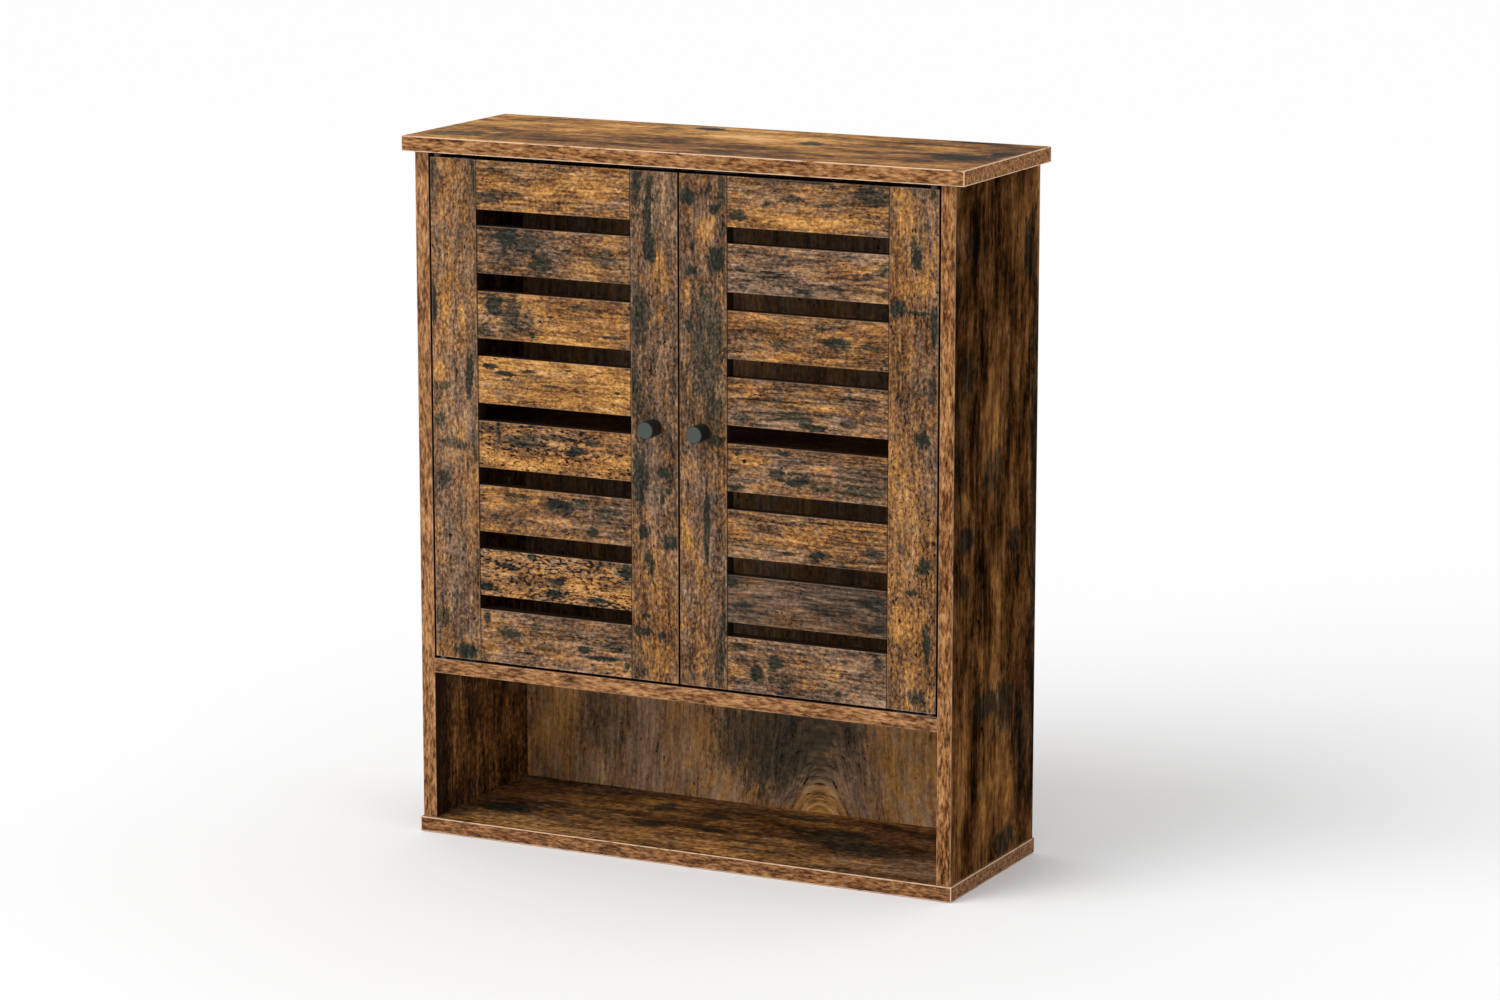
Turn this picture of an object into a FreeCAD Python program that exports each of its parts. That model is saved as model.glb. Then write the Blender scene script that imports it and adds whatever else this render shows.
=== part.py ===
import FreeCAD, Part
import os

# Hanging wall cabinet: an open compartment below two inset doors with slatted fields.
# Millimetres. X runs across the cabinet, with 0 in the middle. Y runs towards the wall:
# 0 is the wall plane and the front is negative. Z is 0 at the underside.
V = FreeCAD.Vector
X_AXIS = V(1, 0, 0)
Y_AXIS = V(0, 1, 0)
Z_AXIS = V(0, 0, 1)
LEFTWARD = V(-1, 0, 0)
FRONTWARD = V(0, -1, 0)
DOWN = V(0, 0, -1)

# Overall sizes
TOP_WIDTH = 600.0
TOP_DEPTH = 204.0
BOTTOM_WIDTH = 582.0
CABINET_DEPTH = 200.0
CABINET_HEIGHT = 700.0
BOARD = 15.0
EDGE_ROUND = 0.6
TOLERANCE = 1e-4

# Carcass
SIDE_OUTER_X = 289.0
SIDE_INNER_X = SIDE_OUTER_X - BOARD
SIDE_MIDDLE_X = SIDE_OUTER_X - BOARD / 2
SIDE_FRONT_Y = -197.0
TOP_UNDERSIDE_Z = CABINET_HEIGHT - BOARD
SHELF_UNDERSIDE_Z = 164.0
SHELF_TOP_Z = SHELF_UNDERSIDE_Z + BOARD

# Back panel, held in a groove all round
PANEL_THICKNESS = 3.0
PANEL_BACK_Y = -7.5
PANEL_FRONT_Y = PANEL_BACK_Y - PANEL_THICKNESS
PANEL_TONGUE = 5.0
GROOVE_DEPTH = 6.0
GROOVE_CLEARANCE = 0.1

# Hanging rail with the two holes for the wall screws
RAIL_HEIGHT = 60.0
WALL_HOLE_RADIUS = 2.75
WALL_HOLE_X = 200.0
WALL_HOLE_SINK_RADIUS = 5.5
WALL_HOLE_SINK_DEPTH = 2.75

# Loose shelf on four pins, and the rows of pin holes
LOOSE_SHELF_UNDERSIDE_Z = 398.0
LOOSE_SHELF_FRONT_Y = -170.0
LOOSE_SHELF_BACK_Y = -12.0
LOOSE_SHELF_SIDE_GAP = 1.0
PIN_HOLE_RADIUS = 2.5
PIN_HOLE_DEPTH = 9.0
PIN_HOLE_PITCH = 32.0
PIN_HOLE_STEPS = (-2, -1, 0, 1, 2)
PIN_HOLE_Y = (-145.0, -37.0)
PIN_FIT = 0.05
PIN_PEG_LENGTH = 8.0
PIN_COLLAR_RADIUS = 4.5
PIN_COLLAR_THICKNESS = 1.0
PIN_REST_LENGTH = 7.0
PIN_REST_RADIUS = 2.5

# Dowels
DOWEL_RADIUS = 4.0
DOWEL_LENGTH = 30.0
DOWEL_IN_FACE = 11.0
DOWEL_FIT = 0.05
DOWEL_END_ROOM = 0.5
DOWEL_CHAMFER = 0.8
CARCASS_DOWEL_Y = (-160.0, -45.0)
RAIL_DOWEL_OFFSET_Z = 18.0

# Cam locks and their bolts
CAM_RADIUS = 7.45
CAM_DEPTH = 12.5
CAM_HOLE_FIT = 0.05
CAM_DISTANCE = 24.0
CAM_Y = -100.0
CAM_SLOT_LENGTH = 9.0
CAM_SLOT_WIDTH = 1.4
CAM_SLOT_DEPTH = 2.0
CAM_BORE_RADIUS = 2.7
CAM_POCKET_RADIUS = 4.0
CAM_POCKET_LENGTH = 4.0
CAM_BOLT_THREAD_RADIUS = 2.5
CAM_BOLT_THREAD_LENGTH = 11.0
CAM_BOLT_SHANK_RADIUS = 2.2
CAM_BOLT_COLLAR_RADIUS = 3.0
CAM_BOLT_COLLAR_LENGTH = 2.0
CAM_BOLT_HEAD_RADIUS = 3.4
CAM_BOLT_HEAD_LENGTH = 2.2
CAM_BOLT_HOLE_RADIUS = 3.1

# Long screws that hold the bottom board to the sides
CONFIRMAT_Y = (-160.0, -45.0)
CONFIRMAT_HEAD_RADIUS = 5.0
CONFIRMAT_HEAD_LENGTH = 3.0
CONFIRMAT_HEAD_DROP = 0.4
CONFIRMAT_SHANK_RADIUS = 3.4
CONFIRMAT_SHANK_LENGTH = 12.0
CONFIRMAT_THREAD_RADIUS = 2.5
CONFIRMAT_LENGTH = 50.0
HEX_CORNERS = 6
HEX_RADIUS = 2.3
HEX_DEPTH = 2.2
SCREW_FIT = 0.05
SCREW_END_ROOM = 0.5

# Doors
DOOR_THICKNESS = BOARD
DOOR_BACK_Y = SIDE_FRONT_Y + DOOR_THICKNESS
DOOR_GAP_BOTTOM = 2.5
DOOR_GAP_TOP = 4.8
DOOR_GAP_SIDE = 2.0
DOOR_GAP_CENTRE = 2.0
DOOR_BOTTOM_Z = SHELF_TOP_Z + DOOR_GAP_BOTTOM
DOOR_TOP_Z = TOP_UNDERSIDE_Z - DOOR_GAP_TOP
DOOR_OUTER_X = SIDE_INNER_X - DOOR_GAP_SIDE
DOOR_INNER_X = DOOR_GAP_CENTRE / 2
STILE_WIDTH = 50.5
TOP_RAIL_WIDTH = 48.6
BOTTOM_RAIL_WIDTH = 53.1
FIELD_OUTER_X = DOOR_OUTER_X - STILE_WIDTH
FIELD_INNER_X = DOOR_INNER_X + STILE_WIDTH
FIELD_LOW_Z = DOOR_BOTTOM_Z + BOTTOM_RAIL_WIDTH
FIELD_HIGH_Z = DOOR_TOP_Z - TOP_RAIL_WIDTH
SLAT_COUNT = 6
SLAT_HEIGHT = 46.8
SLAT_THICKNESS = 12.0
SLAT_RECESS = 0.6
SLAT_ROUND = 1.0
SLOT_UNDER_TOP_RAIL = 15.8
SLOT_OVER_BOTTOM_RAIL = 13.8
TENON_LENGTH = 8.0
TENON_THICKNESS = 8.0
TENON_SHOULDER = 2.0
TENON_FIT = 0.05
RAIL_DOWEL_INSET = 14.0

# Pivot hinges: flat plates let into the door ends and the boards, with a fixed pin
PIVOT_FROM_DOOR_EDGE = 6.5
PIVOT_FROM_DOOR_FRONT = 4.5
PIVOT_X = DOOR_OUTER_X - PIVOT_FROM_DOOR_EDGE
PIVOT_Y = SIDE_FRONT_Y + PIVOT_FROM_DOOR_FRONT
PIVOT_PIN_RADIUS = 2.0
PIVOT_RUNNING_FIT = 0.05
PIVOT_PIN_IN_DOOR = 6.0
PIVOT_PIN_RELIEF_RADIUS = 2.5
PIVOT_PIN_RELIEF_ROOM = 1.0
PIVOT_PLATE_THICKNESS = 2.0
PIVOT_PLATE_RADIUS = 4.2
PIVOT_PLATE_LENGTH = 36.0
PIVOT_SCREW_OFFSETS = (14.0, 30.0)
PIVOT_SCREW_RADIUS = 1.5
PIVOT_SCREW_HEAD_RADIUS = 2.8
PIVOT_SCREW_HEAD_LENGTH = 1.5
PIVOT_SCREW_LENGTH = 9.0
WASHER_RADIUS = 4.0
WASHER_CLEARANCE = 0.1

# Knobs
KNOB_RADIUS = 8.5
KNOB_LENGTH = 20.0
KNOB_CHAMFER = 0.7
KNOB_X = DOOR_INNER_X + STILE_WIDTH / 2
KNOB_Z = 432.4
KNOB_FOOT_RADIUS = 7.6
KNOB_FOOT_LENGTH = 1.0
KNOB_HOLE_DEPTH = 11.0
KNOB_SCREW_RADIUS = 2.0
KNOB_SCREW_IN_KNOB = 9.0
KNOB_SCREW_HEAD_RADIUS = 4.2
KNOB_SCREW_HEAD_LENGTH = 2.4
KNOB_SCREW_CLEARANCE = 0.25

# Magnetic catches under the top board, and the strike plates on the doors
CATCH_LENGTH = 46.0
CATCH_DEPTH = 14.0
CATCH_HEIGHT = 15.0
CATCH_X = 34.0
CATCH_GAP = 1.2
CATCH_FRONT_Y = DOOR_BACK_Y + CATCH_GAP
CATCH_ROUND = 1.0
MAGNET_LENGTH = 26.0
MAGNET_DEPTH = 9.0
MAGNET_HEIGHT = 7.0
MAGNET_BELOW_DOOR_TOP = 5.2
MAGNET_Z = DOOR_TOP_Z - MAGNET_BELOW_DOOR_TOP
MAGNET_STANDS_OUT = 0.1
MAGNET_FIT = 0.05
CATCH_SCREW_SPACING = 36.0
STRIKE_LENGTH = 30.0
STRIKE_HEIGHT = 9.0
STRIKE_THICKNESS = 0.9
STRIKE_CORNER_RADIUS = 2.0
STRIKE_SCREW_LENGTH = 11.0
SMALL_SCREW_RADIUS = 1.5
SMALL_SCREW_HEAD_RADIUS = 2.9
SMALL_SCREW_HEAD_LENGTH = 1.6
CATCH_SCREW_LENGTH = 26.0
PAN_HEAD_ROUND_SHARE = 0.45
CROSS_LENGTH = 3.2
CROSS_WIDTH = 0.7
CROSS_DEPTH = 0.8


def block(x_low, x_high, y_low, y_high, z_low, z_high):
    """A box between two corners."""
    return Part.makeBox(x_high - x_low, y_high - y_low, z_high - z_low, V(x_low, y_low, z_low))


def rod(start, direction, radius, length):
    """A cylinder that starts at a point and runs along a direction."""
    return Part.makeCylinder(radius, length, start, direction)


def cone(start, direction, start_radius, end_radius, length):
    """A tapered rod that starts at a point and runs along a direction."""
    return Part.makeCone(start_radius, end_radius, length, start, direction)


def mirrored(shape):
    """The same piece on the other side of the cabinet."""
    return shape.mirror(V(0, 0, 0), X_AXIS)


def pair(shape):
    """A piece and its mirror image, as separate solids."""
    return [shape, mirrored(shape)]


def lies_on(edge, axis, value):
    """Whether a straight edge lies wholly on a plane across X, Y or Z."""
    places = [getattr(vertex.Point, axis) for vertex in edge.Vertexes]
    return all(abs(place - value) < TOLERANCE for place in places)


def rounded(shape, radius, sharp_planes=()):
    """Round every edge, except those that lie on one of the given planes."""
    chosen = [
        edge
        for edge in shape.Edges
        if not any(lies_on(edge, axis, value) for axis, value in sharp_planes)
    ]
    return shape.makeFillet(radius, chosen)


def cut_all(shape, tools):
    """Cut every tool out of a shape."""
    for tool in tools:
        shape = shape.cut(tool)
    return shape


def save(name, solids):
    """Write one node: a single solid, or a group of separate ones."""
    for solid in solids:
        if not solid.isValid() or solid.Volume <= 0:
            raise ValueError("bad solid in " + name)
    shape = solids[0] if len(solids) == 1 else Part.makeCompound(solids)
    shape.exportStep("parts/" + name + ".step")
    print(name, len(solids), round(shape.Volume))


# ---------------------------------------------------------------- fasteners


def dowel(start, direction):
    """A wooden dowel with chamfered ends."""
    body = rod(start, direction, DOWEL_RADIUS, DOWEL_LENGTH)
    ends = [edge for edge in body.Edges if edge.Closed]
    return body.makeChamfer(DOWEL_CHAMFER, ends)


def dowel_hole(start, direction):
    """The space that a dowel takes, with a little room at both ends."""
    mouth = start - direction * DOWEL_END_ROOM
    return rod(mouth, direction, DOWEL_RADIUS + DOWEL_FIT, DOWEL_LENGTH + 2 * DOWEL_END_ROOM)


def crossed_slots(centre, side, inward, length, width, depth):
    """Two slots that cross at a face's centre, one of them along side; inward points into the face."""
    other_side = inward.cross(side)
    slots = []
    for long_side, short_side in ((side, other_side), (other_side, side)):
        corner = centre - long_side * (length / 2) - short_side * (width / 2)
        outline = [
            corner,
            corner + long_side * length,
            corner + long_side * length + short_side * width,
            corner + short_side * width,
            corner,
        ]
        slots.append(Part.Face(Part.makePolygon(outline)).extrude(inward * depth))
    return slots[0].fuse(slots[1])


def cross_recess(head_centre, direction):
    """The cross in a screw head; direction points into the head."""
    side = V(direction.y, direction.z, direction.x)
    return crossed_slots(head_centre, side, direction, CROSS_LENGTH, CROSS_WIDTH, CROSS_DEPTH)


def flat_head_screw(head_centre, direction, radius, head_radius, head_length, length):
    """A countersunk screw whose head face is at head_centre and which runs along direction."""
    head = cone(head_centre, direction, head_radius, radius, head_length)
    shank = rod(head_centre, direction, radius, length)
    return head.fuse(shank).cut(cross_recess(head_centre, direction))


def flat_head_hole(head_centre, direction, radius, head_radius, head_length, length):
    """The hole for a countersunk screw."""
    sink = cone(head_centre, direction, head_radius + SCREW_FIT, radius + SCREW_FIT, head_length)
    bore = rod(head_centre, direction, radius + SCREW_FIT, length + SCREW_END_ROOM)
    return sink.fuse(bore)


def pan_head_screw(seat, direction, radius, head_radius, head_length, length):
    """A raised-head screw: seat is the middle of the head's underside."""
    head_top = seat - direction * head_length
    head = rod(head_top, direction, head_radius, head_length)
    rim = [edge for edge in head.Edges if edge.Closed and edge.CenterOfMass.isEqual(head_top, TOLERANCE)]
    head = head.makeFillet(head_length * PAN_HEAD_ROUND_SHARE, rim)
    shank = rod(seat, direction, radius, length)
    return head.fuse(shank).cut(cross_recess(head_top, direction))


def cam_bolt(seat, outward):
    """A cam bolt: threaded into the board behind the seat, with its head in the cam."""
    tip = seat - outward * CAM_BOLT_THREAD_LENGTH
    thread = rod(tip, outward, CAM_BOLT_THREAD_RADIUS, CAM_BOLT_THREAD_LENGTH)
    collar = rod(seat, outward, CAM_BOLT_COLLAR_RADIUS, CAM_BOLT_COLLAR_LENGTH)
    shank = rod(seat, outward, CAM_BOLT_SHANK_RADIUS, CAM_DISTANCE)
    head_start = seat + outward * (CAM_DISTANCE - CAM_BOLT_HEAD_LENGTH / 2)
    head = rod(head_start, outward, CAM_BOLT_HEAD_RADIUS, CAM_BOLT_HEAD_LENGTH)
    return thread.fuse(collar).fuse(shank).fuse(head)


def cam_lock(face_centre, inward, to_joint, bolt_depth):
    """A cam lock set in a board's face; the bolt comes in from the joint, bolt_depth below the face."""
    body = rod(face_centre, inward, CAM_RADIUS, CAM_DEPTH)
    bolt_line = face_centre + inward * bolt_depth
    bore = rod(bolt_line, to_joint, CAM_BORE_RADIUS, 2 * CAM_RADIUS)
    pocket_end = bolt_line - to_joint * (CAM_POCKET_LENGTH / 2)
    pocket = rod(pocket_end, to_joint, CAM_POCKET_RADIUS, CAM_POCKET_LENGTH)
    slots = crossed_slots(face_centre, to_joint, inward, CAM_SLOT_LENGTH, CAM_SLOT_WIDTH, CAM_SLOT_DEPTH)
    return cut_all(body, [bore, pocket, slots])


def cam_hole(face_centre, inward):
    """The round pocket that a cam lock sits in."""
    return rod(face_centre, inward, CAM_RADIUS + CAM_HOLE_FIT, CAM_DEPTH + CAM_HOLE_FIT)


def confirmat(y_place):
    """A long screw up through the bottom board into the right side panel."""
    foot = V(SIDE_MIDDLE_X, y_place, CONFIRMAT_HEAD_DROP)
    head = cone(foot, Z_AXIS, CONFIRMAT_HEAD_RADIUS, CONFIRMAT_SHANK_RADIUS, CONFIRMAT_HEAD_LENGTH)
    shank = rod(foot, Z_AXIS, CONFIRMAT_SHANK_RADIUS, CONFIRMAT_SHANK_LENGTH)
    thread = rod(foot, Z_AXIS, CONFIRMAT_THREAD_RADIUS, CONFIRMAT_LENGTH)
    turns = [FreeCAD.Rotation(Z_AXIS, 360 * k / HEX_CORNERS) for k in range(HEX_CORNERS + 1)]
    hexagon = Part.makePolygon([foot + turn.multVec(V(HEX_RADIUS, 0, 0)) for turn in turns])
    socket = Part.Face(hexagon).extrude(Z_AXIS * HEX_DEPTH)
    return head.fuse(shank).fuse(thread).cut(socket)


def confirmat_hole(y_place):
    """The stepped hole for a long screw, open at the underside."""
    foot = V(SIDE_MIDDLE_X, y_place, 0)
    rise = CONFIRMAT_HEAD_DROP + SCREW_FIT
    mouth = rod(foot, Z_AXIS, CONFIRMAT_HEAD_RADIUS + SCREW_FIT, rise)
    head = cone(
        foot + Z_AXIS * CONFIRMAT_HEAD_DROP,
        Z_AXIS,
        CONFIRMAT_HEAD_RADIUS + SCREW_FIT,
        CONFIRMAT_SHANK_RADIUS + SCREW_FIT,
        CONFIRMAT_HEAD_LENGTH,
    )
    shank_length = CONFIRMAT_HEAD_DROP + CONFIRMAT_SHANK_LENGTH
    shank = rod(foot, Z_AXIS, CONFIRMAT_SHANK_RADIUS + SCREW_FIT, shank_length)
    thread_length = CONFIRMAT_HEAD_DROP + CONFIRMAT_LENGTH + SCREW_END_ROOM
    thread = rod(foot, Z_AXIS, CONFIRMAT_THREAD_RADIUS + SCREW_FIT, thread_length)
    return mouth.fuse(head).fuse(shank).fuse(thread)


# ------------------------------------------------------ places shared by boards

# Every place below is on the right-hand side; the left-hand side mirrors it.
SHELF_MIDDLE_Z = SHELF_UNDERSIDE_Z + BOARD / 2
RAIL_MIDDLE_Y = PANEL_FRONT_Y - BOARD / 2
RAIL_MIDDLE_Z = TOP_UNDERSIDE_Z - RAIL_HEIGHT / 2
DOWEL_REACH = DOWEL_LENGTH - DOWEL_IN_FACE

top_dowel_starts = [V(SIDE_MIDDLE_X, y, TOP_UNDERSIDE_Z - DOWEL_REACH) for y in CARCASS_DOWEL_Y]
bottom_dowel_starts = [V(SIDE_MIDDLE_X, CAM_Y, BOARD - DOWEL_IN_FACE)]
shelf_dowel_starts = [V(SIDE_INNER_X - DOWEL_REACH, y, SHELF_MIDDLE_Z) for y in CARCASS_DOWEL_Y]
rail_dowel_starts = [
    V(SIDE_INNER_X - DOWEL_REACH, RAIL_MIDDLE_Y, RAIL_MIDDLE_Z + side * RAIL_DOWEL_OFFSET_Z)
    for side in (-1, 1)
]

top_dowel_holes = [dowel_hole(start, Z_AXIS) for start in top_dowel_starts]
bottom_dowel_holes = [dowel_hole(start, Z_AXIS) for start in bottom_dowel_starts]
shelf_dowel_holes = [dowel_hole(start, X_AXIS) for start in shelf_dowel_starts]
rail_dowel_holes = [dowel_hole(start, X_AXIS) for start in rail_dowel_starts]

# The upper cams are in the side panels' inner faces; the lower ones are in the middle shelf's top face.
top_cam_face = V(SIDE_INNER_X, CAM_Y, TOP_UNDERSIDE_Z - CAM_DISTANCE)
top_bolt_seat = V(SIDE_MIDDLE_X, CAM_Y, TOP_UNDERSIDE_Z)
shelf_cam_face = V(SIDE_INNER_X - CAM_DISTANCE, CAM_Y, SHELF_TOP_Z)
shelf_bolt_seat = V(SIDE_INNER_X, CAM_Y, SHELF_MIDDLE_Z)



def cam_bolt_tunnel(seat, outward):
    """The hole that a cam bolt's shank passes through on its way to the cam."""
    return rod(seat, outward, CAM_BOLT_HOLE_RADIUS, CAM_DISTANCE)


def cam_thread_hole(seat, outward):
    """The hole behind the seat that a cam bolt is screwed into."""
    depth = CAM_BOLT_THREAD_LENGTH + SCREW_END_ROOM
    return rod(seat, outward * -1, CAM_BOLT_THREAD_RADIUS + SCREW_FIT, depth)


def panel_block(room):
    """The back panel's outline, grown by room on its faces for the groove."""
    tongue = PANEL_TONGUE if room == 0 else GROOVE_DEPTH
    half_width = SIDE_INNER_X + tongue
    return block(
        -half_width,
        half_width,
        PANEL_FRONT_Y - room,
        PANEL_BACK_Y + room,
        BOARD - tongue,
        TOP_UNDERSIDE_Z + tongue,
    )


def both_sides(tools):
    """Each tool and its mirror image."""
    return [shape for tool in tools for shape in pair(tool)]


def pivot_plate(z_low):
    """A pivot plate with a round eye about the pin; it runs inwards along the door's end."""
    eye = rod(V(PIVOT_X, PIVOT_Y, z_low), Z_AXIS, PIVOT_PLATE_RADIUS, PIVOT_PLATE_THICKNESS)
    tail = rod(
        V(PIVOT_X - PIVOT_PLATE_LENGTH, PIVOT_Y, z_low), Z_AXIS, PIVOT_PLATE_RADIUS, PIVOT_PLATE_THICKNESS
    )
    bar = block(
        PIVOT_X - PIVOT_PLATE_LENGTH,
        PIVOT_X,
        PIVOT_Y - PIVOT_PLATE_RADIUS,
        PIVOT_Y + PIVOT_PLATE_RADIUS,
        z_low,
        z_low + PIVOT_PLATE_THICKNESS,
    )
    return eye.fuse(tail).fuse(bar).removeSplitter()


def pivot_screw_set(face_z, direction, maker):
    """What maker builds at each of a pivot plate's screws."""
    made = []
    for offset in PIVOT_SCREW_OFFSETS:
        made.append(
            maker(
                V(PIVOT_X - offset, PIVOT_Y, face_z),
                direction,
                PIVOT_SCREW_RADIUS,
                PIVOT_SCREW_HEAD_RADIUS,
                PIVOT_SCREW_HEAD_LENGTH,
                PIVOT_SCREW_LENGTH,
            )
        )
    return made


PIVOTS = (
    {"board_z": SHELF_TOP_Z, "door_z": DOOR_BOTTOM_Z, "into_door": Z_AXIS},
    {"board_z": TOP_UNDERSIDE_Z, "door_z": DOOR_TOP_Z, "into_door": DOWN},
)


def plate_floor(face_z, into):
    """The low face of a plate that is let flush into a face at face_z, on the into side."""
    return face_z if into.z > 0 else face_z - PIVOT_PLATE_THICKNESS


def board_pivot_cuts(pivot):
    """What a board loses for its pivot plate, screws and pin."""
    into_board = pivot["into_door"] * -1
    cuts = [pivot_plate(plate_floor(pivot["board_z"], into_board))]
    cuts += pivot_screw_set(pivot["board_z"], into_board, flat_head_hole)
    return cuts


# ------------------------------------------------------------------- carcass


def make_top_board():
    """The top board, which overhangs the sides and the front."""
    rear = (("y", 0.0),)
    board = block(-TOP_WIDTH / 2, TOP_WIDTH / 2, -TOP_DEPTH, 0, TOP_UNDERSIDE_Z, CABINET_HEIGHT)
    board = rounded(board, EDGE_ROUND, rear)
    tools = [panel_block(GROOVE_CLEARANCE)]
    tools += both_sides(top_dowel_holes)
    tools += both_sides([cam_thread_hole(top_bolt_seat, DOWN)])
    tools += both_sides(board_pivot_cuts(PIVOTS[1]))
    tools += both_sides(catch_screw_holes())
    return cut_all(board, tools)


def make_bottom_board():
    """The bottom board, a little proud of the sides and the front."""
    rear = (("y", 0.0),)
    board = block(-BOTTOM_WIDTH / 2, BOTTOM_WIDTH / 2, -CABINET_DEPTH, 0, 0, BOARD)
    board = rounded(board, EDGE_ROUND, rear)
    tools = [panel_block(GROOVE_CLEARANCE)]
    tools += both_sides(bottom_dowel_holes)
    tools += both_sides([confirmat_hole(y) for y in CONFIRMAT_Y])
    return cut_all(board, tools)


def make_side_panel():
    """The right side panel."""
    hidden = (("z", BOARD), ("z", TOP_UNDERSIDE_Z), ("y", 0.0))
    panel = block(SIDE_INNER_X, SIDE_OUTER_X, SIDE_FRONT_Y, 0, BOARD, TOP_UNDERSIDE_Z)
    panel = rounded(panel, EDGE_ROUND, hidden)
    tools = [panel_block(GROOVE_CLEARANCE), cam_hole(top_cam_face, X_AXIS)]
    tools += top_dowel_holes + bottom_dowel_holes + shelf_dowel_holes + rail_dowel_holes
    tools += [confirmat_hole(y) for y in CONFIRMAT_Y]
    tools += [cam_bolt_tunnel(top_bolt_seat, DOWN), cam_thread_hole(shelf_bolt_seat, LEFTWARD)]
    for y_place in PIN_HOLE_Y:
        for step in PIN_HOLE_STEPS:
            start = V(SIDE_INNER_X, y_place, pin_z() + step * PIN_HOLE_PITCH)
            tools.append(rod(start, X_AXIS, PIN_HOLE_RADIUS, PIN_HOLE_DEPTH))
    return cut_all(panel, tools)


def make_middle_shelf():
    """The fixed shelf between the open compartment and the doors."""
    hidden = (("x", -SIDE_INNER_X), ("x", SIDE_INNER_X), ("y", PANEL_FRONT_Y))
    shelf = block(
        -SIDE_INNER_X, SIDE_INNER_X, SIDE_FRONT_Y, PANEL_FRONT_Y, SHELF_UNDERSIDE_Z, SHELF_TOP_Z
    )
    shelf = rounded(shelf, EDGE_ROUND, hidden)
    tools = both_sides(shelf_dowel_holes)
    tools += both_sides([cam_bolt_tunnel(shelf_bolt_seat, LEFTWARD), cam_hole(shelf_cam_face, DOWN)])
    tools += both_sides(board_pivot_cuts(PIVOTS[0]))
    return cut_all(shelf, tools)


def wall_holes(y_low, y_high):
    """The two holes that the wall screws pass through."""
    return [
        rod(V(x, y_low, RAIL_MIDDLE_Z), Y_AXIS, WALL_HOLE_RADIUS, y_high - y_low)
        for x in (-WALL_HOLE_X, WALL_HOLE_X)
    ]


def make_back_panel():
    """The thin back panel, with its tongues in the grooves."""
    return cut_all(panel_block(0), wall_holes(PANEL_FRONT_Y, PANEL_BACK_Y))


def make_hanging_rail():
    """The rail under the top board that the wall screws pull on."""
    front_y = PANEL_FRONT_Y - BOARD
    low_z = TOP_UNDERSIDE_Z - RAIL_HEIGHT
    hidden = (
        ("x", -SIDE_INNER_X),
        ("x", SIDE_INNER_X),
        ("y", PANEL_FRONT_Y),
        ("z", TOP_UNDERSIDE_Z),
    )
    rail = block(-SIDE_INNER_X, SIDE_INNER_X, front_y, PANEL_FRONT_Y, low_z, TOP_UNDERSIDE_Z)
    rail = rounded(rail, EDGE_ROUND, hidden)
    tools = wall_holes(front_y, PANEL_FRONT_Y)
    for x in (-WALL_HOLE_X, WALL_HOLE_X):
        mouth = V(x, front_y, RAIL_MIDDLE_Z)
        tools.append(cone(mouth, Y_AXIS, WALL_HOLE_SINK_RADIUS, WALL_HOLE_RADIUS, WALL_HOLE_SINK_DEPTH))
    tools += both_sides(rail_dowel_holes)
    return cut_all(rail, tools)


def pin_z():
    """The height of the pins' axes, so that the loose shelf rests on them."""
    return LOOSE_SHELF_UNDERSIDE_Z - PIN_REST_RADIUS


def make_loose_shelf():
    """The loose shelf behind the doors."""
    half_width = SIDE_INNER_X - LOOSE_SHELF_SIDE_GAP - PIN_COLLAR_THICKNESS
    shelf = block(
        -half_width,
        half_width,
        LOOSE_SHELF_FRONT_Y,
        LOOSE_SHELF_BACK_Y,
        LOOSE_SHELF_UNDERSIDE_Z,
        LOOSE_SHELF_UNDERSIDE_Z + BOARD,
    )
    return rounded(shelf, EDGE_ROUND)


def make_shelf_pins():
    """Four pins, each a peg, a collar and the stub that the shelf rests on."""
    pins = []
    for y_place in PIN_HOLE_Y:
        start = V(SIDE_INNER_X, y_place, pin_z())
        peg = rod(start, X_AXIS, PIN_HOLE_RADIUS - PIN_FIT, PIN_PEG_LENGTH)
        collar = rod(start, LEFTWARD, PIN_COLLAR_RADIUS, PIN_COLLAR_THICKNESS)
        stub = rod(start, LEFTWARD, PIN_REST_RADIUS, PIN_REST_LENGTH)
        pins.append(peg.fuse(collar).fuse(stub))
    return both_sides(pins)


# --------------------------------------------------------------------- doors


def slat_floor(index):
    """The underside of a slat, counted from 0 at the top."""
    lowest = FIELD_LOW_Z + SLOT_OVER_BOTTOM_RAIL
    highest = FIELD_HIGH_Z - SLOT_UNDER_TOP_RAIL - SLAT_HEIGHT
    return highest - index * (highest - lowest) / (SLAT_COUNT - 1)


def tenon(index, room):
    """A slat's two tenons as one bar across the field, grown by room for the mortises."""
    front_y = SIDE_FRONT_Y + SLAT_RECESS + (SLAT_THICKNESS - TENON_THICKNESS) / 2
    low_z = slat_floor(index) + TENON_SHOULDER
    return block(
        FIELD_INNER_X - TENON_LENGTH - room,
        FIELD_OUTER_X + TENON_LENGTH + room,
        front_y - room,
        front_y + TENON_THICKNESS + room,
        low_z - room,
        low_z + SLAT_HEIGHT - 2 * TENON_SHOULDER + room,
    )


def make_slat(index):
    """One slat of the right door, with a shouldered tenon at each end."""
    front_y = SIDE_FRONT_Y + SLAT_RECESS
    low_z = slat_floor(index)
    body = block(
        FIELD_INNER_X, FIELD_OUTER_X, front_y, front_y + SLAT_THICKNESS, low_z, low_z + SLAT_HEIGHT
    )
    ends = (("x", FIELD_INNER_X), ("x", FIELD_OUTER_X))
    return rounded(body, SLAT_ROUND, ends).fuse(tenon(index, 0))


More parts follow.
